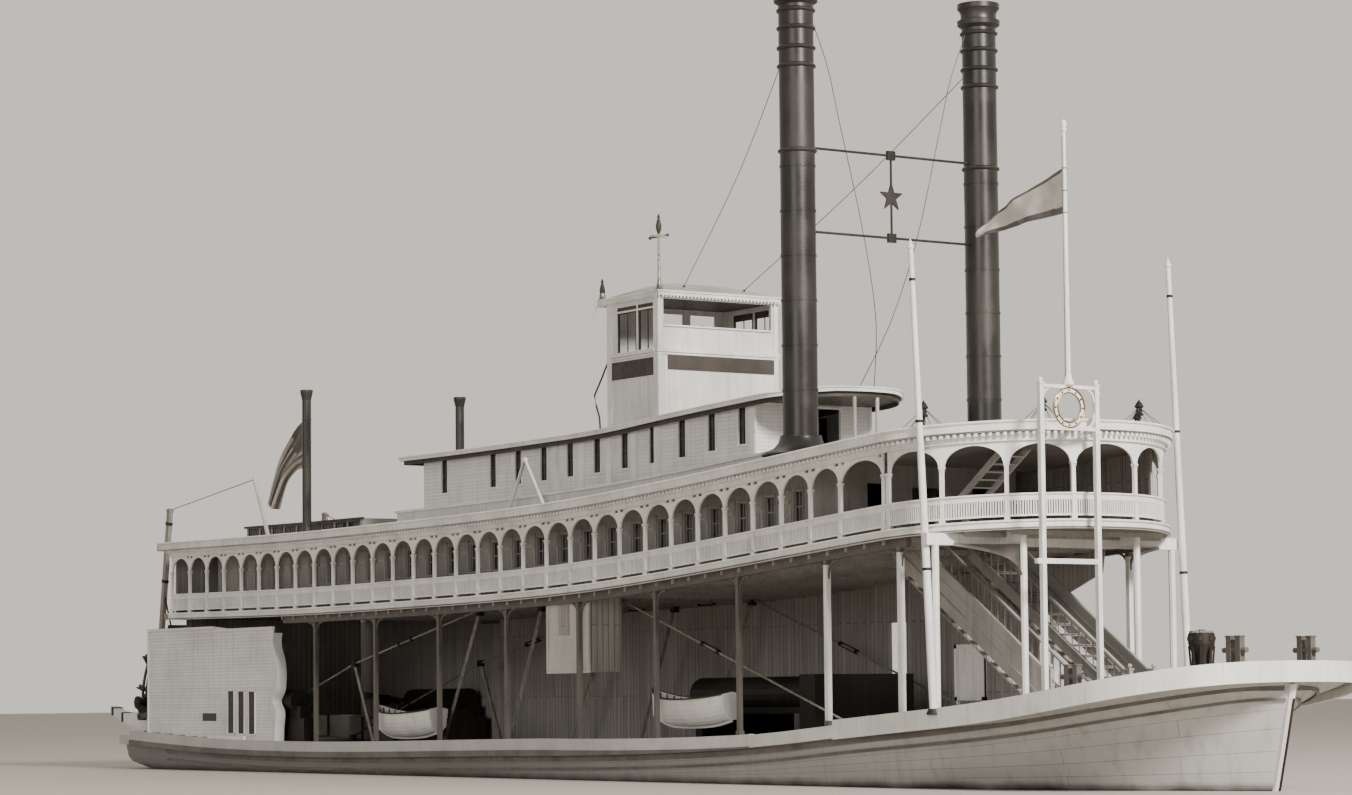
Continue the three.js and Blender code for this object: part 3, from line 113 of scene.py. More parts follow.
PILOT_WINDOWS = ((0.306, 0.112), (0.427, 0.106))  # middle and width
MAST_Y = -0.232
STACK_X = 1.426
STACK_Y = 0.353
STACK_RADIUS = 0.053
STACK_TOP = 2.535
STACK_RINGS = (2.016, 2.273, 2.328, 2.388, 2.442)
WHEEL = Vector((-3.08, 0, 0.385))
WHEEL_RADIUS = 0.315
WHEEL_HALF = 0.262
WHEEL_ARMS = 14
FRAME_Y = (-0.246, 0.0, 0.246)  # the wheel's spoked frames
TIMBER_Y = 0.352
WHEEL_BEAM = (
    # x, underside, top
    (-3.400, 0.340, 0.372), (-3.330, 0.318, 0.352), (-3.230, 0.296, 0.338), (-3.112, 0.278, 0.332),
    (-2.960, 0.256, 0.330), (-2.700, 0.234, 0.326), (-2.300, 0.2245, 0.300),
)
STERN_POST = ((-3.010, 0.328), (-2.880, 1.150))  # foot and head, x and z
# Rails of the stairs: height over the strings, width, depth; the last two board up the outer sides
STAIR_RAILS = ((0.088, 0.010, 0.006), (0.005, 0.0115, 0.004), (0.042, 0.0035, 0.072), (0.048, 0.0060, 0.005))
FLAG_LONG, FLAG_HIGH = 72, 42  # faces of a flag
FLOOR_REACH = 90


def linked(name, data):
    """A new object in the scene"""
    thing = bpy.data.objects.new(name, data)
    bpy.context.scene.collection.objects.link(thing)
    return thing


def pairs(row):
    """Each value of a row with the next"""
    return zip(row, row[1:])


def circle(radius, count):
    """(u, v) points round a circle"""
    return [(radius * cos(a), radius * sin(a)) for a in steps(0, TURN, count)[:-1]]


def mirrored(*rows):
    """A (radius, height) profile from one half of it, given from its end to its middle"""
    return [(radius, -height) for radius, height in rows] + list(rows[::-1])


def upright_box(x, y0, y1, z0, z1):
    """Corners of a rectangle that stands across the boat"""
    return [(x, y0, z0), (x, y1, z0), (x, y1, z1), (x, y0, z1)]


def steps(a, b, count):
    """Evenly spaced values from a to b"""
    return [a + (b - a) * i / count for i in range(count + 1)]


def srgb(code):
    """A hex colour as Blender's linear one"""
    parts = [int(code[i : i + 2], 16) / 255 for i in (1, 3, 5)]
    return (*[c / 12.92 if c <= 0.04045 else ((c + 0.055) / 1.055) ** 2.4 for c in parts], 1)


def add(tree, kind, inputs=None, **settings):
    """Adds a node with its settings, and its inputs as values or as sockets to link from"""
    node = tree.nodes.new(kind)
    for name, value in settings.items():
        setattr(node, name, value)
    for key, value in (inputs or {}).items():
        if isinstance(value, bpy.types.NodeSocket):
            tree.links.new(value, node.inputs[key])
        else:
            node.inputs[key].default_value = value
    return node


# Meshes
class Shape:
    """Closed solids gathered into one mesh"""

    def __init__(self):
        self.points = []
        self.faces = []

    def loft(self, rings, joined=False):
        """A skin through rings of points, capped at its ends unless they join"""
        count, last, start = len(rings[0]), len(rings) - 1, len(self.points)
        faces = []
        for r in range(len(rings) if joined else last):
            a, b = r * count, (r + 1) % len(rings) * count
            faces += [(a + i, a + (i + 1) % count, b + (i + 1) % count, b + i) for i in range(count)]
        if not joined:
            faces += [tuple(range(count))[::-1], tuple(range(last * count, last * count + count))]
        self.points += [Vector(p) for ring in rings for p in ring]
        self.faces += [tuple(start + i for i in face) for face in faces]
        return self

    def block(self, low, high):
        """A box between two opposite corners"""
        (x0, x1), (y0, y1), zs = (sorted(pair) for pair in zip(low, high))
        return self.loft([[(x0, y0, z), (x1, y0, z), (x1, y1, z), (x0, y1, z)] for z in zs])

    def post(self, x, y, low, high, half, half_y=None):
        """An upright square post about (x, y)"""
        half_y = half_y or half
        return self.block((x - half, y - half_y, low), (x + half, y + half_y, high))

    def beam(self, a, b, wide, deep, up=UP):
        """A square timber; deep is measured along up"""
        across, over = upright(Vector(b) - Vector(a), up)
        corners = [across * i * wide / 2 + over * j * deep / 2 for i, j in ((-1, -1), (1, -1), (1, 1), (-1, 1))]
        return self.loft([[Vector(end) + c for c in corners] for end in (a, b)])

    def bent(self, path, wide, deep, up=UP):
        """Square timber after timber along a path"""
        for a, b in pairs(path):
            self.beam(a, b, wide, deep, up)
        return self

    def rod(self, a, b, radius, sides=8, end_radius=None):
        """A round bar, tapered when its second end is given"""
        ends = ((a, radius), (b, radius if end_radius is None else end_radius))
        across, over = upright(Vector(b) - Vector(a))
        return self.loft([[Vector(end) + spoke(across, over, i / sides, r) for i in range(sides)] for end, r in ends])

    def tube(self, path, radius, sides=8, joined=False):
        """A round bar bent along a path"""
        path = [Vector(p) for p in path]
        rings = []
        for i, p in enumerate(path):
            before = path[i - 1] if i or joined else p
            after = path[(i + 1) % len(path)] if i + 1 < len(path) or joined else p
            across, over = upright(after - before)
            rings.append([p + spoke(across, over, k / sides, radius) for k in range(sides)])
        return self.loft(rings, joined)

    def turned(self, place, rows, sides=32, axis=UP):
        """A body of revolution through (radius, height) rows, closed over its first and last row"""
        axis = Vector(axis)
        across, over = upright(axis, AHEAD if abs(axis.x) < 0.9 else UP)
        return self.loft([[Vector(place) + axis * height + spoke(across, over, i / sides, max(radius, 1e-5))
                           for i in range(sides)] for radius, height in rows])

    def ring(self, place, inner, outer, half, sides=32):
        """A collar round an axis across the boat, open in the middle"""
        corners = ((inner, -half), (outer, -half), (outer, half), (inner, half))
        return self.loft([[Vector(place) + ACROSS * h + spoke(AHEAD, UP, part, r) for r, h in corners]
                          for part in steps(0, 1, sides)[:-1]], joined=True)

    def plate(self, outline, thick, place=(0, 0, 0), across=AHEAD, over=UP):
        """A flat board cut to an outline, as thick as said along across x over"""
        through = across.cross(over)
        middle = [Vector(place) + across * u + over * v for u, v in outline]
        return self.loft([[p + through * t for p in middle] for t in (-thick / 2, thick / 2)])

    def ball(self, place, radius, sides=12):
        """A ball, by the number of its meridians"""
        rows = [(radius * sin(a), -radius * cos(a)) for a in steps(0, pi, sides // 2)]
        return self.turned(place, rows, sides)

    def mesh(self, name):
        """The solids as a Blender mesh"""
        mesh = bpy.data.meshes.new(name)
        mesh.from_pydata([tuple(p) for p in self.points], [], self.faces)
        facing_out(mesh)
        return mesh


def upright(way, up=UP):
    """Two directions square to a way, the second as near to up as it goes"""
    way = Vector(way).normalized()
    if abs(way.dot(up)) > 0.999:
        up = AHEAD if abs(way.x) < 0.9 else ACROSS
    across = way.cross(up).normalized()
    return across, across.cross(way)


def spoke(across, over, part, radius):
    """From the middle out to a radius, at a part of a turn"""
    turn = TURN * part
    return (across * cos(turn) + over * sin(turn)) * radius


def facing_out(mesh):
    """Turns every face outward"""
    work = bmesh.new()
    work.from_mesh(mesh)
    bmesh.ops.recalc_face_normals(work, faces=work.faces)
    work.to_mesh(mesh)
    work.free()


def piece(name, shape, finish, body="boat", angle=32):
    """A finished piece from a shape or a mesh: its material, its shading and the body that it rides on"""
    material, slot = FINISHES[finish]
    mesh = shape.mesh(name) if isinstance(shape, Shape) else shape
    thing = linked(name, mesh)
    mesh.materials.clear()
    mesh.materials.append(material)
    if angle:
        mesh.shade_smooth()
        mesh.set_sharp_from_angle(angle=radians(angle))
    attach(thing, body)
    return thing


def smooth_copy(node, name, finish, angle):
    """A merged and smoothly shaded copy of a CAD node, standing for it"""
    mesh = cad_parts[node].data.copy()
    mesh.name = name
    work = bmesh.new()
    work.from_mesh(mesh)
    bmesh.ops.remove_doubles(work, verts=work.verts, dist=1e-5)
    bmesh.ops.dissolve_limit(work, angle_limit=radians(0.5), verts=work.verts, edges=work.edges)
    work.to_mesh(mesh)
    work.free()
    if "custom_normal" in mesh.attributes:
        mesh.attributes.remove(mesh.attributes["custom_normal"])
    made = piece(name, mesh, finish, angle=angle)
    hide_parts(node)
    return made


class Surface:
    """The skin of CAD nodes, for setting pieces against it"""

    def __init__(self, *nodes):
        points, faces = [], []
        for node in nodes:
            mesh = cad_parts[node].data
            start = len(points)
            points += [v.co.copy() for v in mesh.vertices]
            faces += [tuple(start + i for i in f.vertices) for f in mesh.polygons]
        self.tree = BVHTree.FromPolygons(points, faces)

    def top(self, x, y, above=3.0):
        """Height of the first face met from above"""
        return self.tree.ray_cast(Vector((x, y, above)), -UP)[0].z

    def under(self, x, y, below=-1.0):
        """Height of the first face met from below"""
        return self.tree.ray_cast(Vector((x, y, below)), UP)[0].z

    def side(self, x, z, side):
        """y of the outer face on one side"""
        return self.tree.ray_cast(Vector((x, side * 2.0, z)), Vector((0, -side, 0)))[0].y


BOILER_DECK = Surface("boiler_deck")
ROOF = Surface("hurricane_deck")
MAIN_DECK = Surface("main_deck")
BAND = Surface("edge_band")
TEXAS_TOP = Surface("texas_roof")
SKIRT = Surface("texas_skirt")


def upper(x):
    """Underside of the boiler deck, or of its nearest end"""
    return BOILER_DECK.under(min(max(x, -2.69), 2.38), 0.3 if x < 2.05 else 0.0)


def deck(x):
    """Top of the main deck, or of its nearest end"""
    return MAIN_DECK.top(min(max(x, -3.11), 3.1), 0.32 if x < 2.4 else 0.06)


def roof(x):
    """Top of the hurricane deck"""
    return upper(x) + ROOF_TOP


def texas_roof(x):
    """Top of the texas roof at its edge"""
    return TEXAS_TOP.top(x, 0.0)


# Geometry Nodes
def new_tree(name, **sizes):
    """A tree with its named inputs and a finish"""
    tree = bpy.data.node_groups.new(name, "GeometryNodeTree")
    for way in ("INPUT", "OUTPUT"):
        tree.interface.new_socket("Geometry", in_out=way, socket_type="NodeSocketGeometry")
    for label, kind in (*sizes.items(), ("Finish", "Material")):
        tree.interface.new_socket(label, in_out="INPUT", socket_type="NodeSocket" + kind)
    return tree, add(tree, "NodeGroupInput").outputs


def end_tree(tree, geometry, finish):
    """Ends a tree in Realize Instances and Set Material"""
    real = add(tree, "GeometryNodeRealizeInstances", {"Geometry": geometry})
    painted = add(tree, "GeometryNodeSetMaterial", {"Geometry": real.outputs[0], "Material": finish})
    add(tree, "NodeGroupOutput", {"Geometry": painted.outputs[0]})
    return tree


def copies_tree():
    """Copies of one unit on points that carry their own turn and size"""
    tree, given = new_tree("copies on sites", Pattern="Object")
    unit = add(tree, "GeometryNodeObjectInfo", {"Object": given["Pattern"]})
    turn, size = (add(tree, "GeometryNodeInputNamedAttribute", {"Name": label}, data_type="FLOAT_VECTOR").outputs[0]
                  for label in ("turn", "size"))
    rotation = add(tree, "FunctionNodeEulerToRotation", {"Euler": turn})
    placed = add(tree, "GeometryNodeInstanceOnPoints",
                 {"Points": given["Geometry"], "Instance": unit.outputs["Geometry"], "Rotation": rotation.outputs[0],
                  "Scale": size})
    return end_tree(tree, placed.outputs[0], given["Finish"])


def upright_row_tree():
    """Slats, blocks or studs that stand in a row along a path"""
    tree, given = new_tree("upright row", Pitch="Float", Wide="Float", Deep="Float", High="Float")
    path = add(tree, "GeometryNodeMeshToCurve", {"Mesh": given["Geometry"]})
    points = add(tree, "GeometryNodeResampleCurve", {"Curve": path.outputs[0], "Length": given["Pitch"]},
                 mode="LENGTH")
    way = add(tree, "ShaderNodeSeparateXYZ", {0: add(tree, "GeometryNodeInputTangent").outputs[0]})
    heading = add(tree, "ShaderNodeMath", {0: way.outputs[1], 1: way.outputs[0]}, operation="ARCTAN2")
    turn = add(tree, "ShaderNodeCombineXYZ", {"Z": heading.outputs[0]})
    rotation = add(tree, "FunctionNodeEulerToRotation", {"Euler": turn.outputs[0]})
    cube = add(tree, "GeometryNodeMeshCube", {"Size": (1, 1, 1)})
    standing = add(tree, "GeometryNodeTransform", {"Geometry": cube.outputs[0], "Translation": (0, 0, 0.5)})
    size = add(tree, "ShaderNodeCombineXYZ", {"X": given["Wide"], "Y": given["Deep"], "Z": given["High"]})
    placed = add(tree, "GeometryNodeInstanceOnPoints",
                 {"Points": points.outputs[0], "Instance": standing.outputs[0], "Rotation": rotation.outputs[0],
                  "Scale": size.outputs[0]})
    return end_tree(tree, placed.outputs[0], given["Finish"])


def moulding_tree():
    """A moulding run along a path, with the profile that an outline object gives"""
    tree, given = new_tree("moulding", Pattern="Object")
    path = add(tree, "GeometryNodeMeshToCurve", {"Mesh": given["Geometry"]})
    level = add(tree, "GeometryNodeSetCurveNormal", {"Curve": path.outputs[0]}, mode="Z_UP")
    outline = add(tree, "GeometryNodeObjectInfo", {"Object": given["Pattern"]})
    profile = add(tree, "GeometryNodeMeshToCurve", {"Mesh": outline.outputs["Geometry"]})
    swept = add(tree, "GeometryNodeCurveToMesh",
                {"Curve": level.outputs[0], "Profile Curve": profile.outputs[0], "Fill Caps": True})
    return end_tree(tree, swept.outputs[0], given["Finish"])


def studs_tree():
    """Rivet heads along a path"""
    tree, given = new_tree("stud row", Pitch="Float", Radius="Float")
    path = add(tree, "GeometryNodeMeshToCurve", {"Mesh": given["Geometry"]})
    points = add(tree, "GeometryNodeResampleCurve", {"Curve": path.outputs[0], "Length": given["Pitch"]},
                 mode="LENGTH")
    head = add(tree, "GeometryNodeMeshIcoSphere", {"Radius": given["Radius"], "Subdivisions": 1})
    placed = add(tree, "GeometryNodeInstanceOnPoints", {"Points": points.outputs[0], "Instance": head.outputs[0]})
    return end_tree(tree, placed.outputs[0], given["Finish"])


def wheel_tree():
    """One spoked frame or one bucket turned round the shaft as often as asked"""
    tree, given = new_tree("round the shaft", Pattern="Object", Count="Int")
    ring = add(tree, "GeometryNodeMeshLine", {"Count": given["Count"], "Offset": (0, 0, 0)}, mode="OFFSET")
    turned = add(tree, "GeometryNodeInputIndex").outputs[0]
    for operation, value in (("ADD", 0.5), ("DIVIDE", given["Count"]), ("MULTIPLY", -TURN)):
        turned = add(tree, "ShaderNodeMath", {0: turned, 1: value}, operation=operation).outputs[0]
    turn = add(tree, "ShaderNodeCombineXYZ", {"Y": turned}).outputs[0]
    rotation = add(tree, "FunctionNodeEulerToRotation", {"Euler": turn}).outputs[0]
    unit = add(tree, "GeometryNodeObjectInfo", {"Object": given["Pattern"]})
    placed = add(tree, "GeometryNodeInstanceOnPoints",
                 {"Points": ring.outputs[0], "Instance": unit.outputs["Geometry"], "Rotation": rotation})
    real = add(tree, "GeometryNodeRealizeInstances", {"Geometry": placed.outputs[0]})
    moved = add(tree, "GeometryNodeTransform", {"Geometry": real.outputs[0], "Translation": tuple(WHEEL)})
    return end_tree(tree, moved.outputs[0], given["Finish"])


TREES = {"copies": copies_tree(), "row": upright_row_tree(), "moulding": moulding_tree(), "studs": studs_tree(),
         "wheel": wheel_tree()}


def grown(name, kind, mesh, finish, body="boat", angle=32, pattern=None, **sizes):
    """Runs a tree on a mesh, with the mesh of its pattern if it has one, and keeps the result as a plain piece"""
    tree, seed = TREES[kind], linked(name + "_path", mesh)
    sizes["Finish"] = FINISHES[finish][0]
    if pattern:
        sizes["Pattern"] = linked("pattern", pattern)
    modifier = seed.modifiers.new("grown", "NODES")
    modifier.node_group = tree
    for socket in tree.interface.items_tree:
        if socket.in_out == "INPUT" and socket.name in sizes:
            modifier[socket.identifier] = sizes[socket.name]
    bpy.context.view_layer.update()
    depsgraph = bpy.context.evaluated_depsgraph_get()
    result = bpy.data.meshes.new_from_object(seed.evaluated_get(depsgraph))
    bpy.data.objects.remove(seed)
    if pattern:
        bpy.data.objects.remove(sizes["Pattern"])
    facing_out(result)
    for label in ("turn", "size"):
        if label in result.attributes:
            result.attributes.remove(result.attributes[label])
    return piece(name, result, finish, body, angle)


def path_mesh(*paths, closed=False):
    """Edges through each path's points"""
    points, edges = [], []
    for path in paths:
        start = len(points)
        points += [tuple(p) for p in path]
        edges += [(start + i, start + i + 1) for i in range(len(path) - 1)]
        if closed:
            edges.append((start + len(path) - 1, start))
    mesh = bpy.data.meshes.new("path")
    mesh.from_pydata(points, edges, [])
    return mesh


def copies(name, unit, sites, finish):
    """Copies of a unit at each (place, heading in degrees, size) site"""
    mesh = bpy.data.meshes.new("sites")
    mesh.from_pydata([tuple(place) for place, _, _ in sites], [], [])
    for label in ("turn", "size"):
        mesh.attributes.new(label, "FLOAT_VECTOR", "POINT")
    for i, (_, heading, size) in enumerate(sites):
        mesh.attributes["turn"].data[i].vector = (0, 0, radians(heading))
        mesh.attributes["size"].data[i].vector = size if isinstance(size, tuple) else (size, size, size)
    return grown(name, "copies", mesh, finish, pattern=unit.mesh("unit"))


def moulding(name, path, profile, finish, closed=False):
    """A profile run along a path or a list of them: (wide, high) of a flat bar, the radius of a round one, or its
    (outward, up) points"""
    if isinstance(profile, tuple):
        u, v = profile[0] / 2, profile[1] / 2
        profile = [(-u, -v), (u, -v), (u, v), (-u, v)]
    elif isinstance(profile, float):
        profile = circle(profile, 8)
    outline = path_mesh([(u, v, 0) for u, v in profile], closed=True)
    paths = path if isinstance(path[0], list) else [path]
    grown(name, "moulding", path_mesh(*paths, closed=closed), finish, pattern=outline)


# Finishes
def new_material(name):
    """An empty material, its tree and the place on the object that its patterns read"""
    material = bpy.data.materials.new(name)
    material.use_nodes = True
    material.node_tree.nodes.clear()
    return material, material.node_tree, add(material.node_tree, "ShaderNodeTexCoord").outputs["Object"]


def mottle(tree, place, scale, low, high, to=(0.0, 1.0), detail=4.0, stretch=(1, 1, 1)):
    """Irregular patches, so many a metre, that fade in between low and high; stretch draws them out"""
    laid = add(tree, "ShaderNodeMapping", {"Vector": place, "Scale": stretch})
    cloud = add(tree, "ShaderNodeTexNoise", {"Vector": laid.outputs[0], "Scale": scale, "Detail": detail})
    return add(tree, "ShaderNodeMapRange", {"Value": cloud.outputs[0], "From Min": low, "From Max": high,
                                            "To Min": to[0], "To Max": to[1]}).outputs[0]


def boards(tree, place, way, wide, length=0.5, seam=0.0006):
    """A tone for each board, and board seams, 1 in the seam; way says how the boards run"""
    apart = add(tree, "ShaderNodeSeparateXYZ", {0: place}).outputs
    level = add(tree, "ShaderNodeMath", {0: apart[0], 1: apart[1]}, operation="ADD").outputs[0]
    across, along = {"level": (apart[2], level), "upright": (level, apart[2]), "deck": (apart[1], apart[0]),
                     "athwart": (apart[0], apart[1])}[way]
    flat = add(tree, "ShaderNodeCombineXYZ", {"X": along, "Y": across}).outputs[0]
    return brickwork(tree, flat, 0.37, 10.0, seam * 10, 0.3, length * 10, wide * 10)


def brickwork(tree, flat, offset, scale, seam, soft, length, wide):
    """The tone of each board and its seam, from boards laid in a flat pattern"""
    laid = {"Vector": flat, "Color1": (0, 0, 0, 1), "Color2": (1, 1, 1, 1), "Mortar": (0.5, 0.5, 0.5, 1),
            "Scale": scale, "Mortar Size": seam, "Mortar Smooth": soft, "Brick Width": length, "Row Height": wide}
    brick = add(tree, "ShaderNodeTexBrick", laid, offset=offset)
    tone = add(tree, "ShaderNodeSeparateColor", {0: brick.outputs["Color"]}).outputs[0]
    return tone, brick.outputs["Fac"]


def surfaced(material, ground, coats, rough, relief, depth, **plain):
    """Ends a finish: a ground colour under coats of (how much, colour, share of it), its roughness, plain or as
    (value, from, to), and its relief in metres, one pattern or two of them and how they join"""
    tree, colour = material.node_tree, srgb(ground)
    for much, over, *share in coats:
        if share:
            much = add(tree, "ShaderNodeMath", {0: much, 1: share[0]}, operation="MULTIPLY").outputs[0]
        colour = add(tree, "ShaderNodeMix", {0: much, 6: colour, 7: srgb(over)}, data_type="RGBA").outputs[2]
    if isinstance(rough, tuple):
        value, least, most, *reach = rough
        rough = add(tree, "ShaderNodeMapRange", {"Value": value, "From Max": reach[0] if reach else 1.0,
                                                 "To Min": least, "To Max": most}).outputs[0]
    if isinstance(relief, tuple):
        relief = add(tree, "ShaderNodeMath", {0: relief[0], 1: relief[1]}, operation=relief[2]).outputs[0]
    bump = add(tree, "ShaderNodeBump", {"Height": relief, "Distance": depth, "Strength": 0.7})
    sockets = {"Base Color": colour, "Roughness": rough, "Normal": bump.outputs[0]}
    sockets.update({label.replace("_", " "): value for label, value in plain.items()})
    shader = add(tree, "ShaderNodeBsdfPrincipled", sockets)
    add(tree, "ShaderNodeOutputMaterial", {"Surface": shader.outputs[0]})
    return material


def abaft(tree, place, start, end, most):
    """Painted shade: a share that grows from one place on the boat's length towards the stern"""
    far = add(tree, "ShaderNodeSeparateXYZ", {0: place}).outputs[0]
    return add(tree, "ShaderNodeMapRange", {"Value": far, "From Min": end, "From Max": start, "To Min": most,
                                            "To Max": 0.0}).outputs[0]


def painted_boards(name, clean, worn, grime, way, wide):
    """Brushed white lead on planed boards: chalky and even, streaked below edges, darker in the seams.
    Boards are 115 to 125 mm wide on the boat and a tenth of that here, streaks a few mm wide."""
    material, tree, place = new_material(name)
    tone, gap = boards(tree, place, way, wide)
    patches = mottle(tree, place, 5, 0.42, 0.68, detail=6)
    streaks = mottle(tree, place, 60, 0.5, 0.85, (0, 0.5), 3, (1, 1, 0.07))
    brushed = mottle(tree, place, 420, 0.2, 0.8, (0.5, 0.75), 2)
    coats = ((patches, worn), (tone, grime, 0.16), (streaks, grime), (gap, grime, 0.55))
    return surfaced(material, clean, coats, brushed, (brushed, gap, "SUBTRACT"), 0.001, IOR=1.5)


def painted_trim(name, clean, worn, grime, soot=0.0):
    """The same paint on sawn and turned trim: no seams, rubbed thin in specks of 5 mm on the boat; soot is how
    much painted shade darkens it from amidships to the stern"""
    material, tree, place = new_material(name)
    patches = mottle(tree, place, 9, 0.42, 0.66, detail=5)
    specks = mottle(tree, place, 170, 0.66, 0.76, (0, 0.45), 3)
    streaks = mottle(tree, place, 75, 0.52, 0.85, (0, 0.4), 3, (1, 1, 0.06))
    worked = mottle(tree, place, 60, 0.3, 0.7, (0.42, 0.7), 3)
    coats = [(patches, worn), (streaks, grime), (specks, grime)]
    if soot:
        # painted shade towards the stern
        coats.append((abaft(tree, place, 2.3, 0.2, soot), "#6f6d6a"))
    return surfaced(material, clean, coats, worked, mottle(tree, place, 300, 0, 1, detail=3), 0.0004, IOR=1.5)


def hull_planks(name):
    """Grey oil paint on oak strakes about 300 mm wide: seams that print through, long grime runs, painted shade that
    darkens the planking abaft, and a dark, wet and shiny band where the water laps"""
    material, tree, place = new_material(name)
    strake = add(tree, "ShaderNodeAttribute", attribute_name="strake").outputs["Vector"]
    tone, seam = brickwork(tree, strake, 0.4, 1.0, 0.009, 0.5, 7.0, 0.5)
    patches = mottle(tree, place, 3.5, 0.38, 0.66, detail=6, stretch=(0.5, 1, 1.6))
    streaks = mottle(tree, place, 38, 0.5, 0.8, (0, 0.4), 4, (1, 1, 0.05))
    ragged = mottle(tree, place, 9, 0, 1, (-0.012, 0.014), 5)
    height = add(tree, "ShaderNodeSeparateXYZ", {0: place}).outputs[2]
    level = add(tree, "ShaderNodeMath", {0: height, 1: ragged}, operation="ADD").outputs[0]
    wet = add(tree, "ShaderNodeMapRange", {"Value": level, "From Min": WATERLINE + 0.002,
                                           "From Max": WATERLINE + 0.026, "To Min": 1.0, "To Max": 0.0}).outputs[0]
    # the coat from abaft() is painted shade, darker towards the stern
    coats = ((patches, "#acaaa7"), (tone, "#868482", 0.16), (abaft(tree, place, 2.4, -0.4, 0.75), "#6b6967"),
             (streaks, "#74716e"), (seam, "#4b4846", 0.4), (wet, "#3d3a38"))
    skin = mottle(tree, place, 90, 0, 1, (0, 0.35))
    return surfaced(material, "#bcbab7", coats, (wet, 0.62, 0.3), (skin, seam, "SUBTRACT"), 0.0016, IOR=1.48)


def worn_planks(name, bare, weathered, grain_dark, seam_dark, way="deck", wide=0.013, length=0.62):
    """Bare planks payed with pitch: fine grain, scuffed paths and black seams 9 mm wide on the boat"""
    material, tree, place = new_material(name)
    tone, gap = boards(tree, place, way, wide, length, 0.0009)
    stretch = {"deck": (0.12, 3.2, 1), "upright": (3.2, 3.2, 0.12)}[way]
    grain = mottle(tree, place, 26, 0.35, 0.7, detail=6, stretch=stretch)
    scuffs = mottle(tree, place, 4, 0.45, 0.7, (0, 0.4), 6)
    much = add(tree, "ShaderNodeMath", {0: grain, 1: 0.45}, operation="MULTIPLY").outputs[0]
    coats = ((tone, weathered), (much, grain_dark), (scuffs, bare), (gap, seam_dark))
    return surfaced(material, bare, coats, (grain, 0.66, 0.86), (much, gap, "SUBTRACT"), 0.0012, IOR=1.45)


def painted_canvas(name, light, dark, grime):
    """Painted canvas tacked over the roof boards: lapped strips 900 mm wide on the boat, puddle stains, grit
    drawn five times too coarse so that it shows"""
    material, tree, place = new_material(name)
    tone, lap = boards(tree, place, "athwart", 0.09, 1.9, 0.0014)
    stains = mottle(tree, place, 6, 0.4, 0.66, detail=7)
    grit = mottle(tree, place, 900, 0.5, 0.8, (0, 0.35), 2)
    coats = ((tone, dark, 0.3), (stains, dark), (grit, grime), (lap, grime, 0.5))
    return surfaced(material, light, coats, (stains, 0.72, 0.9), (grit, lap, "ADD"), 0.0012, IOR=1.5)


def blacked_iron(name, black, soot, rust, dull, runs):
    """Sheet or cast iron under stove black: a soft sheen, dull soot, and rust that runs down from the joints"""
    material, tree, place = new_material(name)
    sooty = mottle(tree, place, 7, 0.4, 0.7, detail=5)
    rusty = mottle(tree, place, 48, 0.55, 0.8, (0, runs), 4, (1, 1, 0.05))
    pits = mottle(tree, place, 210, 0, 1, detail=3)
    return surfaced(material, black, ((sooty, soot), (rusty, rust)), (sooty, *dull), pits, 0.0003, Metallic=0.35)


def wet_oak(name, dark, pale, soaked_dark):
    """Rough-sawn oak that the wheel keeps wet: open grain, black where soaked and shiny there"""
    material, tree, place = new_material(name)
    grain = mottle(tree, place, 55, 0.35, 0.7, detail=6, stretch=(0.4, 0.12, 1.6))
    soaked = mottle(tree, place, 8, 0.35, 0.65)
    coats = ((grain, dark), (soaked, soaked_dark, 0.5))
    return surfaced(material, pale, coats, (soaked, 0.62, 0.34), grain, 0.0014, IOR=1.4)


def bare_metal(name, colour, worn, roughness):
    """Wire, zinc or brass, bare and spotted by weather in marks of 5 to 10 mm"""
    material, tree, place = new_material(name)
    spots = mottle(tree, place, 110, 0.45, 0.7)
    return surfaced(material, colour, ((spots, worn),), (spots, roughness, roughness + 0.25), spots, 0.0002,
                    Metallic=1.0)


def laid_rope(name, pale, dark):
    """Tarred hemp laid in three strands: matt and hairy, darker between the strands"""
    material, tree, place = new_material(name)
    strands = mottle(tree, place, 260, 0.35, 0.65, detail=2)
    return surfaced(material, pale, ((strands, dark),), 0.9, strands, 0.0008, IOR=1.45)


def window_glass(name, dark, dusty):
    """Old drawn glass over a dark room: glossy, faintly wavy, dusty here and there"""
    material, tree, place = new_material(name)
    waves = mottle(tree, place, 34, 0, 1, detail=2)
    dust = mottle(tree, place, 14, 0.5, 0.75, (0, 0.35), 5)
    return surfaced(material, dark, ((dust, dusty),), (dust, 0.06, 0.3, 0.35), waves, 0.0006, IOR=1.52)


def bunting(name, field, border, grime):
    """Worsted bunting in plain weave: soft, thin, faded. Its threads lie 0.5 mm apart on the boat and are drawn
    1.6 mm apart here, thirty times too coarse, so that the weave shows. The attribute "border" colours it."""
    material, tree, place = new_material(name)
    cut = add(tree, "ShaderNodeSeparateXYZ", {0: add(tree, "ShaderNodeUVMap", uv_map="cloth").outputs[0]}).outputs
    rows = []
    for way in (cut[0], cut[1]):
        turns = add(tree, "ShaderNodeMath", {0: way, 1: TURN / 0.0016}, operation="MULTIPLY").outputs[0]
        rows.append(add(tree, "ShaderNodeMath", {0: turns}, operation="SINE").outputs[0])
    crossed = add(tree, "ShaderNodeMath", {0: rows[0], 1: rows[1]}, operation="MULTIPLY").outputs[0]
    weave = add(tree, "ShaderNodeMapRange", {"Value": crossed, "From Min": -1.0}).outputs[0]
    edged = add(tree, "ShaderNodeAttribute", attribute_name="border").outputs["Fac"]
    faded = mottle(tree, place, 22, 0.4, 0.7, (0, 0.4))
    coats = ((edged, border), (faded, grime), (weave, grime, 0.25))
    return surfaced(material, field, coats, 0.85, weave, 0.0003, Sheen_Weight=0.3)


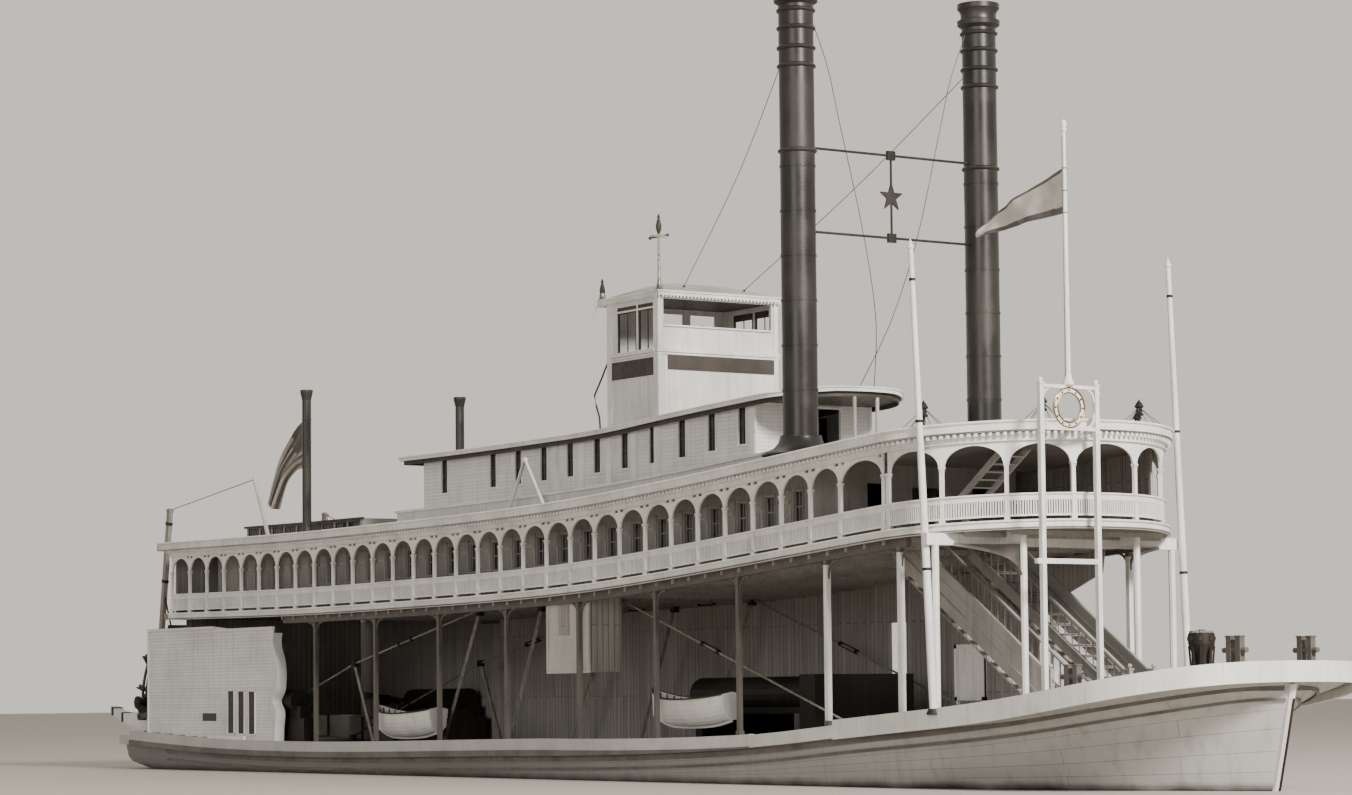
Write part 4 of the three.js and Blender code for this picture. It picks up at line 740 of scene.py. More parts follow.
def studio_floor():
    """Matt pale board, almost the same all over"""
    material, tree, place = new_material("matt_pale_board")
    cloud = mottle(tree, place, 0.6, 0.3, 0.7)
    return surfaced(material, "#b7b1a7", ((cloud, "#b2aca2"),), 0.9, cloud, 0.0001)


LEAD = ("#ebeae7", "#d9d8d5", "#9b9a98")  # white lead: clean, worn, grimed


FINISHES = {finish: (make(*rest), slot) for finish, slot, make, *rest in (
    # name of the finish, slot of the record, what makes it, name of the material, its colours and sizes
    ("white", "white_paint", painted_trim, "white_lead_paint_on_trim", *LEAD),
    ("siding", "white_paint", painted_boards, "white_lead_paint_on_siding", *LEAD, "level", 0.0125),
    # the deck edge takes painted shade that darkens it towards the stern
    ("edge", "white_paint", painted_trim, "sooted_white_paint_on_deck_edge", *LEAD, 0.5),
    ("panelling", "white_paint", painted_boards, "white_lead_paint_on_panelling", *LEAD, "upright", 0.0115),
    # painted shade: the saloon's boards drawn dark as they stand under the roof; also on the after screen and the
    # stair balusters
    ("saloon_wall", "white_paint", painted_boards, "drab_paint_on_saloon_boards", "#a09c97", "#8b8782", "#5f5b57",
     "upright", 0.0115),
    ("drab", "white_paint", painted_boards, "drab_paint_on_closet", "#cac7c3", "#b6b3af", "#8a8783", "upright", 0.03),
    # painted shade: white paint drawn grey where it lies under the boiler deck, on beams, ceilings, stairs and saloon
    # trim
    ("ceiling", "white_paint", painted_boards, "smoked_paint_on_beaded_ceiling", "#aaa7a2", "#918e8a", "#68655f",
     "deck", 0.011),
    ("hull", "hull_paint", hull_planks, "worn_grey_paint_on_hull_planks"),
    # painted shade: dark grey strakes, wale and drip that draw the shadow lines under the deck edge and the fascia
    ("strake", "hull_paint", painted_trim, "dark_grey_paint_on_strakes", "#6f6b65", "#5b5751", "#35312d"),
    ("planks", "deck_plank", worn_planks, "bare_pine_deck_planks", "#918a80", "#787168", "#4c4740", "#201d1a"),
    ("freight_planks", "deck_plank", worn_planks, "trodden_freight_deck_planks", "#98928a", "#837e77", "#5d5852",
     "#2a2723"),
    ("canvas", "roofing", painted_canvas, "painted_roof_canvas", "#b5b1ab", "#96928d", "#57534f"),
    # dark brown paint; also painted shade on the texas eave board and soffit, the pilothouse sashes and ceiling and
    # the engine rooms' foot
    ("dark", "dark_wood", painted_trim, "dark_brown_paint", "#3b3531", "#463f39", "#241f1c"),
    # painted shade: boards that stand dark where the decks and the gallery hold shade
    ("boarding", "dark_wood", worn_planks, "smoke_darkened_boarding", "#b6b1ac", "#a29d98", "#78736e", "#4a4642",
     "upright", 0.022),
    # painted shade: the stanchions, their knees and feet drawn dark in the shade of the boiler deck
    ("posts", "dark_wood", painted_trim, "smoked_drab_paint_on_posts", "#65605b", "#585450", "#3a3734"),
    ("weathered", "dark_wood", worn_planks, "weathered_grey_oak", "#8f8a83", "#a39d94", "#5d5852", "#4a4640",
     "upright", 0.026),
    ("varnish", "dark_wood", worn_planks, "oiled_walnut_boards", "#4a3a2e", "#3a2d24", "#2a201a", "#1a1410",
     "upright", 0.02, 0.4),
    ("oak", "wheel_wood", wet_oak, "soaked_oak_timber", "#2f2a26", "#5b5148", "#2a2521"),
    ("iron", "black_iron", blacked_iron, "stove_blacked_sheet_iron", "#302e2c", "#403d3a", "#4d3f36", (0.3, 0.5),
     0.3),
    ("cast", "black_iron", blacked_iron, "rusting_cast_iron", "#221f1d", "#2e2a27", "#4f3a2d", (0.5, 0.75), 0.6),
    ("wire", "black_iron", bare_metal, "galvanised_wire", "#57534e", "#37332f", 0.5),
    ("zinc", "black_iron", bare_metal, "tinned_sheet_iron", "#a7a39c", "#6c6761", 0.35),
    ("brass", "black_iron", bare_metal, "tarnished_brass", "#8c7446", "#4c4029", 0.32),
    ("rope", "dark_wood", laid_rope, "tarred_hemp_rope", "#6b5f4f", "#3b332a"),
    ("glass", "dark_wood", window_glass, "old_window_glass", "#2a2927", "#7c7871"),
    ("pennant", "flag_cloth", bunting, "faded_pennant_bunting", "#d9d4ca", "#3a3836", "#97918a"),
    ("ensign", "flag_cloth", bunting, "faded_ensign_bunting", "#b9b2a8", "#4a4642", "#7d776f"),
)}


# Setting
def camera():
    """The photograph's camera"""
    yaw, pitch, roll = (radians(a) for a in (VIEW_YAW, VIEW_PITCH, VIEW_ROLL))
    forward = Vector((-cos(yaw) * cos(pitch), sin(yaw) * cos(pitch), sin(pitch)))
    right = forward.cross(UP).normalized()
    over = right.cross(forward)
    turned = Matrix((right * cos(roll) + over * sin(roll), over * cos(roll) - right * sin(roll), -forward))
    eye = linked("photo_view", bpy.data.cameras.new("photo_view"))
    eye.matrix_world = Matrix.Translation(VIEW_PLACE) @ turned.transposed().to_4x4()
    eye.data.lens = VIEW_LENS
    eye.data.shift_y = VIEW_SHIFT_UP
    eye.data.clip_start = 0.05
    eye.data.clip_end = 400
    bpy.context.scene.camera = eye


def lamp(name, kind, place, strength, tint, aim=(0, 0, 0), **settings):
    """A light of one kind that shines from its place at an aim"""
    light = bpy.data.lights.new(name, kind)
    light.energy, light.color = strength, srgb(tint)[:3]
    for label, value in settings.items():
        setattr(light, label, value)
    thing = linked(name, light)
    thing.location = place
    thing.rotation_euler = (Vector(aim) - Vector(place)).to_track_quat("-Z", "Y").to_euler()


def studio():
    """Pale board at the waterline under soft light, the brightest of it from ahead as in the photograph. The two
    suns stand for very large, far screens: even soft light over boat and floor from the sides that they lie on"""
    lamp("key_ahead", "AREA", (15, -0.9, 8.0), 4300, "#fffaf3", (0, 0, 0.7), shape="DISK", size=3.2)
    lamp("fill_starboard", "SUN", (6, -11, 2.1), 0.80, "#f4f2ee", angle=0.5)
    lamp("fill_aft_port", "SUN", (-11, 9, 6.2), 0.33, "#f4f2ee", angle=0.6)
    world = bpy.data.worlds.new("pale_room")
    bpy.context.scene.world = world
    world.use_nodes = True
    tree = world.node_tree
    tree.nodes.clear()
    way = add(tree, "ShaderNodeTexCoord").outputs["Generated"]
    toward = add(tree, "ShaderNodeVectorMath", {0: way, 1: (-0.75, 0.62, 0.1)}, operation="DOT_PRODUCT")
    share = add(tree, "ShaderNodeMapRange", {"Value": toward.outputs["Value"], "From Min": -0.6, "From Max": 0.75,
                                             "To Min": 0.40, "To Max": 1.32})
    glow = add(tree, "ShaderNodeBackground", {"Color": srgb("#d0cac2"), "Strength": share.outputs[0]})
    add(tree, "ShaderNodeOutputWorld", {"Surface": glow.outputs[0]})
    floor = bpy.data.meshes.new("floor")
    corners = ((-1, -1), (1, -1), (1, 1), (-1, 1))
    floor.from_pydata([(x * FLOOR_REACH, y * FLOOR_REACH, WATERLINE) for x, y in corners], [], [(0, 1, 2, 3)])
    floor.materials.append(studio_floor())
    board = linked("floor", floor)


# Hull
HULL_ROWS = (
    # (x, y) at the bottom, z of the bottom, then (x, y) at the bilge, the knuckle and the top
    (-2.720, 0.412, 0.092, -2.720, 0.432, -2.720, 0.438, -2.720, 0.440),
    (-2.250, 0.416, 0.000, -2.250, 0.436, -2.250, 0.438, -2.250, 0.440),
    (-1.400, 0.418, 0.000, -1.400, 0.437, -1.400, 0.439, -1.400, 0.440),
    (-0.300, 0.418, 0.000, -0.300, 0.437, -0.300, 0.439, -0.300, 0.440),
    (0.700, 0.418, 0.000, 0.700, 0.437, 0.700, 0.439, 0.700, 0.440),
    (1.400, 0.408, 0.000, 1.400, 0.432, 1.400, 0.436, 1.400, 0.440),
    (1.900, 0.372, 0.000, 1.900, 0.408, 1.900, 0.424, 1.900, 0.438),
    (2.300, 0.292, 0.000, 2.300, 0.345, 2.310, 0.390, 2.310, 0.436),
    (2.600, 0.178, 0.000, 2.620, 0.240, 2.650, 0.318, 2.670, 0.424),
    (2.790, 0.092, 0.000, 2.820, 0.140, 2.880, 0.215, 2.910, 0.370),
    (2.930, 0.038, 0.008, 2.960, 0.060, 3.020, 0.105, 3.070, 0.240),
    (3.010, 0.009, 0.026, 3.047, 0.009, 3.105, 0.009, 3.122, 0.060),
)


def curve_between(rows, spot):
    """A smooth curve through rows of numbers; spot runs over their indices"""
    i = min(int(spot), len(rows) - 2)
    t = spot - i
    p0, p1, p2, p3 = (rows[max(0, min(k, len(rows) - 1))] for k in (i - 1, i, i + 1, i + 2))
    return [
        0.5 * (2 * b + (c - a) * t + (2 * a - 5 * b + 4 * c - d) * t * t + (3 * b - a - 3 * c + d) * t**3)
        for a, b, c, d in zip(p0, p1, p2, p3)
    ]


def hull_section(row):
    """Points up one side, from the bottom to the deck, each with its place among the strakes"""
    xb, yb, zb, xw, yw, xk, yk, xt, yt = row
    foot = Vector((xb, yb, zb))
    levels = [(xw, yw, max(BILGE_Z, zb + 0.02)), (xk, yk, deck(xk) - 0.080), (xt, yt, deck(xt) - UNDER_DECK)]
    below = [foot.lerp(Vector(levels[0]), t) for t in steps(0, 1, 4)[:-1]]
    above = [Vector(curve_between(levels, t)) for t in steps(0, 2, 12)]
    return below + above, steps(-4, 0, 4)[:-1] + steps(0, STRAKES, 12)


def hull():
    """Planking with its stern legs, the shelves for the rudders, the stem post and its shoe"""
    shape, rings, strakes = Shape(), [], []
    for t in steps(0, len(HULL_ROWS) - 1, (len(HULL_ROWS) - 1) * 8):
        row = curve_between(HULL_ROWS, t)
        half, heights = hull_section(row)
        rings.append([(x, -y, z) for x, y, z in reversed(half)] + [tuple(p) for p in half])
        strakes += [(row[0] * 10, h / 2, 0) for h in heights[::-1] + heights]
    shape.loft(rings)
    for side in (-1, 1):
        legs = []
        for x, low, out in ((STERN_X, 0.150, 0.424), (-2.916, 0.121, 0.428), (TRANSOM_X, 0.092, 0.432)):
            top = deck(x) - UNDER_DECK
            outline = ((0.3, low), (out - 0.016, low), (out, 0.17), (0.44, top), (0.3, top))
            legs.append([(x, side * y, z) for y, z in outline])
            strakes += [(x * 10, h, 0) for h in (0, 0, 0.7, 4.5, 4.5)]
        shape.loft(legs)
    mesh = shape.mesh("hull_planking")
    laid = mesh.attributes.new("strake", "FLOAT_VECTOR", "POINT")
    for i, value in enumerate(strakes):
        laid.data[i].vector = value
    planking = piece("hull_planking", mesh, "hull", angle=40)
    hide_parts("hull")
    irons, post = Shape(), Shape()
    for low, high in ((0.162, 0.176), (0.194, 0.208)):
        irons.block((TRANSOM_X - 0.04, -0.25, low), (TRANSOM_X + 0.005, 0.25, high))
    face = ((3.014, 0.026), (3.050, 0.132), (3.080, 0.250), (3.107, 0.364), (3.116, 0.402))
    section = ((-0.03, -0.009), (0.006, -0.009), (0.014, -0.004), (0.014, 0.004), (0.006, 0.009), (-0.03, 0.009))
    post.loft([[(x + out, y, z) for out, y in section] for x, z in face])
    piece("rudder_shelves", irons, "cast")
    piece("stem_post", post, "white")
    piece("stem_shoe", Shape().tube([(x + 0.014, 0, z) for x, z in face[:4]], 0.004), "cast")


def side_strakes():
    """Two rubbing strakes along the topsides, following the sheer into the bow, dark grey as painted shade under the
    deck edge
    """
    for name, drop, wide in (("upper_strake", 0.030, 0.016), ("lower_strake", 0.062, 0.008)):
        line = []
        for t in steps(0, len(HULL_ROWS) - 1.02, 150):
            half, _ = hull_section(curve_between(HULL_ROWS, t))
            z = half[-1].z - drop
            for low, high in pairs(half[4:]):
                if low.z <= z <= high.z:
                    line.append(low.lerp(high, (z - low.z) / max(high.z - low.z, 1e-6)))
                    break
        moulding(name, [[(p.x, side * (p.y + 0.001), p.z) for p in line] for side in (-1, 1)], (0.008, wide),
                 "strake")


# Main deck
def deck_edge():
    """White band round the main deck, with a wale along its foot, dark grey as painted shade, and a log along its top
    """
    smooth_copy("edge_band", "deck_edge_band", "edge", angle=40)
    wale, log = Shape(), Shape()
    for side in (-1, 1):
        feet, caps = [], []
        for x in steps(-3.02, 1.30, 60):
            low, high = BAND.under(x, side * 0.462), BAND.top(x, side * 0.462)
            y = BAND.side(x, (low + high) / 2, side)
            part = min(1.0, (1.30 - x) / 1.2)
            feet.append(upright_box(x, y - side * 0.004, y + side * 0.0022, low - 0.001,
                                    low + (high - low) * (0.10 + 0.42 * part)))
            inboard, face, top = side * 0.444, y - side * 0.001, high + 0.003 + 0.016 * part
            caps.append([(x, inboard, high - 0.001), (x, face, high - 0.001), (x, face, top),
                         (x, inboard + side * 0.002, top)])
        wale.loft(feet)
        log.loft(caps)
    piece("band_wale", wale, "strake", angle=30)
    piece("deck_edge_log", log, "edge", angle=30)


# CAD nodes that stay, by their finish; a star stands for either side
# saloon_wall, ceiling, boarding and posts are painted shade on the saloon, the stairs, the bulkheads and the
# stanchions
DRESSED = {
    "planks": "boiler_deck", "freight_planks": "main_deck", "canvas": "hurricane_deck texas_roof pilothouse_roof",
    "cast": "wheel_shaft engine_* boilers", "iron": "chimney_spreader steam_pipe_*", "dark": "pitman_*",
    "oak": "rudder_*", "saloon_wall": "saloon_side_* saloon_front saloon_aft", "drab": "side_closet",
    "varnish": "saloon_door_* pilothouse_door pilot_wheel", "weathered": "hog_chains", "posts": "stanchions_*",
    "panelling": "texas_skirt pilothouse_side_* pilothouse_front pilothouse_back", "ceiling": "front_stairs",
    "siding": "texas_side_* texas_front texas_aft engine_room_side_*", "white": "front_beam jackstaff_frame",
    "boarding": "freight_bulkhead engine_room_bulkhead",
}


def dress():
    """Better finishes on the CAD nodes that stay"""
    for finish, nodes in DRESSED.items():
        for node in nodes.split():
            for name, _ in SIDES:
                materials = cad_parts[node.replace("*", name)].data.materials
                if not materials:
                    materials.append(FINISHES[finish][0])
                for i in range(len(materials)):
                    materials[i] = FINISHES[finish][0]


# Paddle wheel
def round_shaft(name, unit, finish):
    """A unit that stands along +X, repeated round the wheel's shaft once to each arm"""
    grown(name, "wheel", bpy.data.meshes.new("none"), finish, "paddle_wheel", pattern=unit.mesh("unit"),
          Count=WHEEL_ARMS)


def paddle_wheel():
    """Arms, circles and buckets, bolted and strapped, on cast hubs"""
    arms, straps, buckets, bolts, rims, hubs = (Shape() for _ in range(6))
    hub = mirrored((0.0165, 0.014), (0.024, 0.014), (0.027, 0.010), (0.052, 0.009), (0.056, 0.006))
    for y in FRAME_Y:
        arms.beam((0.03, y, 0), (WHEEL_RADIUS - 0.003, y, 0), 0.011, 0.013)
        straps.block((0.236, y - 0.0075, 0.0065), (WHEEL_RADIUS - 0.004, y + 0.0075, 0.0095))
        straps.block((0.05, y - 0.0075, -0.0095), (0.10, y + 0.0075, 0.0095))
        for x in (0.262, 0.282, 0.302):
            for off in (-0.012, 0.012):
                bolts.rod((x, y + off, 0.004), (x, y + off, 0.0125), 0.0028, 6)
        for inner, outer in ((0.170, 0.184), (0.255, 0.269)):
            for side in (-1, 1):
                rims.ring((WHEEL.x, y + side * 0.0085, WHEEL.z), inner, outer, 0.003, 56)
        hubs.turned(WHEEL + ACROSS * y, hub, 28, ACROSS)
        for i in range(WHEEL_ARMS):
            spot = WHEEL + ACROSS * y + spoke(AHEAD, UP, (i + 0.5) / WHEEL_ARMS, 0.044)
            hubs.rod(spot - ACROSS * 0.0115, spot + ACROSS * 0.0115, 0.0034, 6)
    for i, x in enumerate((WHEEL_RADIUS - 0.033, WHEEL_RADIUS - 0.0005)):
        buckets.block((x - 0.0318, -WHEEL_HALF, 0.0045), (x, WHEEL_HALF, 0.0095 - 0.0006 * i))
    round_shaft("wheel_arms", arms, "oak")
    round_shaft("wheel_buckets", buckets, "oak")
    round_shaft("wheel_straps", straps, "cast")
    round_shaft("wheel_bolts", bolts, "cast")
    circles = piece("wheel_circles", rims, "oak", "paddle_wheel")
    piece("wheel_hubs", hubs, "cast", "paddle_wheel")
    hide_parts("wheel_reel")


def wheel_beams():
    """Swept beams that carry the wheel, with their strapped pillow blocks and weathered leaning posts"""
    for name, side in SIDES:
        y = side * TIMBER_Y
        beam, iron, post = Shape(), Shape(), Shape()
        beam.loft([upright_box(x, y - 0.020, y + 0.020, max(low, deck(x) + 0.0005), high)
                   for x, low, high in [curve_between(WHEEL_BEAM, t) for t in steps(0, 6, 36)]])
        for t in (0.4, 1.5, 3.6, 4.6, 5.4):
            x, low, high = curve_between(WHEEL_BEAM, t)
            low = max(low, deck(x) + 0.0005)
            for y0, y1, z in ((-0.022, -0.0195, low), (0.0195, 0.022, low), (-0.022, 0.022, high)):
                iron.block((x - 0.008, y + y0, z), (x + 0.008, y + y1, high + 0.002))
        iron.ring((WHEEL.x, y, WHEEL.z), 0.0205, 0.036, 0.013)
        iron.block((WHEEL.x - 0.050, y - 0.014, 0.330), (WHEEL.x + 0.050, y + 0.014, 0.350))
        for toward in (-1, 1):
            x = WHEEL.x + toward * 0.043
            iron.rod((x, y, 0.348), (x, y, 0.358), 0.005, 6)
            iron.loft([[(WHEEL.x + toward * u, y + off, z)
                        for u, off in ((near, -0.012), (near, 0.012), (far, 0.012), (far, -0.012))]
                       for near, far, z in ((0.024, 0.040, 0.349), (0.0215, 0.034, 0.372))])
        foot, head = (Vector((x, y, z)) for x, z in STERN_POST)
        way = (head - foot).normalized()
        post.beam(foot, head, 0.016, 0.026)
        post.beam(head, head + way * 0.006, 0.021, 0.031)
        post.beam(head + way * 0.006, head + way * 0.011, 0.014, 0.022)
        for t in (0.06, 0.34, 0.66, 0.94):
            spot = foot.lerp(head, t)
            iron.beam(spot - way * 0.006, spot + way * 0.006, 0.019, 0.029)
        iron.rod(foot.lerp(head, 0.60), (-2.66, y, deck(-2.66) + 0.002), 0.0035)
        made = piece(f"wheel_timber_{name}", beam, "white", angle=30)
        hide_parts(f"wheel_beam_{name}")
        piece(f"stern_post_{name}", post, "weathered", angle=0)
        piece(f"wheel_beam_irons_{name}", iron, "cast")


# Boiler deck, arcade and roof
def front_spot(angle, inset, height):
    """A point on the rounded front, by its angle from right ahead"""
    turn = radians(angle)
    x = ROUND_X + (ROUND_LENGTH - inset) * cos(turn)
    return Vector((x, (UPPER_HALF - inset) * sin(turn), upper(ROUND_X + (ROUND_LENGTH - 0.014) * cos(turn)) + height))


def whole_line(inset, height, aft=-2.65):
    """Right round at a height above the underside of the boiler deck: up the starboard side, round the front and
    down the port side"""
    out = UPPER_HALF - inset
    side = [(x, upper(x) + height) for x in steps(aft, ROUND_X, 36)[:-1]]
    front = [front_spot(a, inset, height) for a in steps(-90, 90, 60)]
    return [(x, -out, z) for x, z in side] + front + [(x, out, z) for x, z in side[::-1]]


def front_heading(angle):
    """Heading in degrees that turns +Y to face out of the rounded front"""
    turn = radians(angle)
    return degrees(atan2(ROUND_LENGTH * sin(turn), UPPER_HALF * cos(turn))) - 90


def side_posts():
    """x of every post along a side"""
    return [-2.645, -2.4875] + [FIRST_POST + BAY * i for i in range(SIDE_BAYS + 1)] + [1.963]


def post_unit():
    """A square post with a base, a neck and a capital; one metre of it is stretched to the real height"""
    unit, x, y = Shape(), POST_WIDE / 2, 0.0045
    for proud, low, high in ((0, 0, 1), (0.002, 0, 0.07), (0.001, 0.07, 0.085), (0.0015, 0.93, 0.945),
                             (0.0025, 0.965, 1.0)):
        unit.post(0, 0, low, high, x + proud, y + proud)
    return unit


def arch_bay(shape, spot, start, end, wide_post):
    """The head of one bay: fretted spandrels over an elliptical arch; spot places (along, height, out)"""
    half, middle = (end - start) / 2, (start + end) / 2
    clear = half - wide_post / 2
    slot_low, slot_high = ARCH_CROWN - 0.001, ARCH_CROWN + 0.007
    reach = min(0.027, clear * 0.5)
    columns = []
    for along in [s * half for s in steps(-1, 1, 28)]:
        head = SPRING + (ARCH_CROWN - SPRING) * sqrt(max(0.0, 1 - min(abs(along) / clear, 1) ** 2))
        fretted = 0.003 < half - abs(along) < reach and head < slot_low - 0.004
        columns.append((middle + along, head, fretted))
    for (s0, h0, fretted0), (s1, h1, fretted1) in pairs(columns):
        spans = [(h0, h1, ARCADE_TOP)]
        if fretted0 and fretted1:
            spans = [(h0, h1, slot_low), (slot_high, slot_high, ARCADE_TOP)]
        for a, b, top in spans:
            shape.loft([[spot(s, low, 0.0015), spot(s, low, 0.0075), spot(s, top, 0.0075), spot(s, top, 0.0015)]
                        for s, low in ((s0, a), (s1, b))])


def arch_row(name, posts, spot, sites, wide_post=POST_WIDE):
    """The arches over one row of posts, and the posts"""
    heads = Shape()
    for start, end in pairs(posts):
        arch_bay(heads, spot, start, end, wide_post)
    made = piece(f"arches_{name}", heads, "white", angle=30)
    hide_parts(f"arcade_{name}")
    copies(f"arcade_posts_{name}", post_unit(), sites, "white")


def arcade():
    """Arches on their posts along both sides and round the front"""
    y = UPPER_HALF - 0.014
    stretch = (1, 1, SPRING + 0.004 - UPPER_THICK)
    for name, side in SIDES:
        def spot(x, height, out):
            return Vector((x, side * (y + out), upper(x) + height))

        sites = [((x, side * (y + 0.0045), upper(x) + UPPER_THICK), 0.0, stretch) for x in side_posts()]
        arch_row(name, side_posts(), spot, sites)
    sites = [(front_spot(a, RAIL_IN, UPPER_THICK), front_heading(a), stretch) for a in FRONT_POST_ANGLES]
    arch_row("front", FRONT_POST_ANGLES, lambda a, height, out: front_spot(a, 0.014 - out, height), sites, 2.0)


def edge_mouldings():
    """Balustrade, and the mouldings that run right round the boiler deck, the arcade and the roof"""
    hand_rail = [(-0.008, -0.003), (0.008, -0.003), (0.008, 0.001), (0.004, 0.003), (-0.004, 0.003), (-0.008, 0.001)]
    for name, inset, height, profile, finish, *aft in (
            ("balustrade_foot_rail", RAIL_IN, UPPER_THICK + 0.013, (0.009, 0.005), "white"),
            ("balustrade_hand_rail", RAIL_IN, RAIL_TOP - 0.003, hand_rail, "white"),
            ("rail_band", RAIL_IN, RAIL_TOP - 0.013, (0.005, 0.014), "white"),
            ("boiler_deck_fascia", -0.003, 0.0125, (0.006, 0.027), "white"),
            ("boiler_deck_bead", -0.008, 0.022, 0.003, "white"),
            # the drip's dark grey is painted shade under the fascia
            ("boiler_deck_drip", -0.007, 0.003, (0.003, 0.004), "strake"),
            ("frieze", 0.004, ARCADE_TOP - 0.011, (0.004, 0.020), "white"),
            ("frieze_bead", 0.0, ARCADE_TOP - 0.023, 0.0022, "white"),
            ("roof_fascia", -0.018, ROOF_TOP - 0.014, (0.005, 0.026), "white", -2.71),
            ("roof_nosing", -0.022, ROOF_TOP - 0.003, 0.004, "white", -2.71)):
        moulding(name, whole_line(inset, height, *aft), profile, finish)
    slats = path_mesh(whole_line(RAIL_IN, UPPER_THICK + 0.014))
    grown("balusters", "row", slats, "white", Pitch=0.0075, Wide=0.0042, Deep=0.003, High=0.060)
    eave = path_mesh(whole_line(-0.006, ARCADE_TOP - 0.0095))
    grown("eave_dentils", "row", eave, "white", Pitch=0.020, Wide=0.009, Deep=0.018, High=0.009)


def deck_beams():
    """Beams under the boiler deck, cut at the stairwell, grey as painted shade"""
    beams = Shape()
    for x in steps(-1.74, 2.30, 45):
        half = UPPER_HALF - 0.02
        if x >= ROUND_X:
            half = (UPPER_HALF - 0.03) * sqrt(max(0, 1 - ((x - ROUND_X) / ROUND_LENGTH) ** 2))
        for y0, y1 in ((-half, -0.205), (0.205, half)) if 1.63 < x < 2.07 else ((-half, half),):
            beams.block((x - 0.004, y0, upper(x) - 0.013), (x + 0.004, y1, upper(x) + 0.001))
    piece("deck_beams", beams, "ceiling")


def gallery():
    """Ceiling boards over the promenade, the stair to the roof, and wind boards on the port side forward; the
    ceiling's grey and the dark of the wind boards are painted shade
    """
    top = ARCADE_TOP - 0.0015
    ceiling, stair, wind, battens = (Shape() for _ in range(4))
    for side in (-1, 1):
        ceiling.loft([upright_box(x, side * 0.339, side * 0.447, upper(x) + top, upper(x) + top - 0.002)
                      for x in steps(-2.66, SALOON_FRONT, 34)])
    rings = []
    for x in steps(SALOON_FRONT + 0.012, ROUND_X, 6)[:-1] + steps(ROUND_X, 2.386, 12):
        half = 0.447 * sqrt(max(0.0, 1 - (max(0.0, x - ROUND_X) / (ROUND_LENGTH - 0.017)) ** 2))
        rings.append(upright_box(x, -half, half, upper(x) + top, upper(x) + top - 0.002))
    ceiling.loft(rings)
    foot, head = Vector((1.585, 0, upper(1.585) + UPPER_THICK)), Vector((2.0, 0, upper(2.0) + top - 0.0026))
    for y in (-0.046, 0.046):
        stair.plate([(foot.x - 0.012, foot.z), (foot.x + 0.022, foot.z), (head.x + 0.012, head.z),
                     (head.x - 0.022, head.z)], 0.006, (0, y, 0))
    for t in steps(0.07, 0.93, 11):
        spot = foot.lerp(head, t)
        stair.block((spot.x - 0.012, -0.0432, spot.z - 0.0012), (spot.x + 0.014, 0.0432, spot.z + 0.0018))
    line = [(x, 0.437) for x in steps(1.43, ROUND_X, 8)]
    line += [tuple(front_spot(a, 0.028, 0))[:2] for a in steps(90, 66, 5)]
    line = [(x, y, upper(x) + UPPER_THICK + 0.0006, upper(x) + top - 0.003) for x, y in line]
    wind.loft([upright_box(x, y - 0.002, y + 0.002, z0, z1) for x, y, z0, z1 in line])
    for x, y, z0, z1 in line:
        battens.block((x - 0.005, y - 0.005, z0), (x + 0.005, y + 0.0015, z1))
    piece("gallery_ceiling", ceiling, "ceiling", angle=20)
    piece("roof_stair", stair, "white", angle=0)
    piece("wind_boards", wind, "boarding", angle=0)
    piece("wind_board_battens", battens, "boarding", angle=0)


# Cabin windows and doors
def casing(wide, high, board=0.005, proud=0.004):
    """Window casing round an opening, with a sill, facing +Y, its foot at the origin"""
    unit, half = Shape(), wide / 2
    for side in (-1, 1):
        unit.block((side * (half + board), -0.001, 0), (side * (half - 0.0005), proud, high))
    for out, front, low, top in ((0.001, 0.001, high - 0.0005, high + board), (0.002, 0.003, -0.004, 0.0005)):
        unit.block((-half - board - out, -0.001, low), (half + board + out, proud + front, top))
    return unit


def sash(wide, high, across=2, rows=2, inset=0.004, bar=0.003):
    """Sash bars of a window, set back in its wall"""
    unit, half = Shape(), wide / 2
    stiles = [(x, bar, 0.0015) for x in (-half + bar / 2, half - bar / 2)]
    stiles += [(x, bar * 0.45, 0.001) for x in steps(-half, half, across)[1:-1]]
    for x, thick, deep in stiles:
        unit.block((x - thick / 2, -inset - deep, 0), (x + thick / 2, -inset + deep, high))
    rails = [(z, 0.0015) for z in (bar / 2, high - bar / 2)] + [(z, 0.001) for z in steps(0, high, rows)[1:-1]]
    for z, deep in rails:
        unit.block((-half, -inset - deep, z - bar / 2), (half, -inset + deep, z + bar / 2))
    return unit


def pane(wide, high, inset=0.005):
    """The glass of a window"""
    return Shape().block((-wide / 2, -inset - 0.0006, 0), (wide / 2, -inset, high))


def windows(names, sites, wide, high, finishes, board=(), bars=(), inset=0.005):
    """The casings, sashes and panes of a row of windows; names holds a gap for what the piece is"""
    units = casing(wide, high, *board), sash(wide, high, *bars), pane(wide - 0.001, high - 0.001, inset)
    for part, unit, finish in zip(("casings", "sashes", "panes"), units, finishes):
        copies(names.format(part), unit, sites, finish)


def louvred_door(wide, high):
    """A stateroom door: casing, stiles, two louvred panels and a transom light, facing +Y"""
    stiles, slats, half = Shape(), Shape(), wide / 2
    for x, broad, proud, top in ((-half - 0.003, 0.004, 0.0035, high), (half - 0.001, 0.004, 0.0035, high),
                                 (-half + 0.002, 0.006, 0.0025, high * 0.84),
                                 (half - 0.008, 0.006, 0.0025, high * 0.84)):
        stiles.block((x, -0.001, 0), (x + broad, proud, top))
    stiles.block((-half - 0.004, -0.001, high), (half + 0.004, 0.0045, high + 0.005))
    for z in (0.0, high * 0.40, high * 0.80):
        stiles.block((-half + 0.002, -0.001, z), (half - 0.002, 0.0025, z + 0.008))
    for low, top in ((0.01, high * 0.39), (high * 0.42, high * 0.79)):
        for z in steps(low, top, int((top - low) / 0.006))[1:-1]:
            slats.plate([(-0.0016, -0.0022), (-0.0010, -0.0026), (0.0018, 0.0018), (0.0012, 0.0022)], wide - 0.016,
                        (0, 0.0006, z), ACROSS, UP)
    return stiles, slats


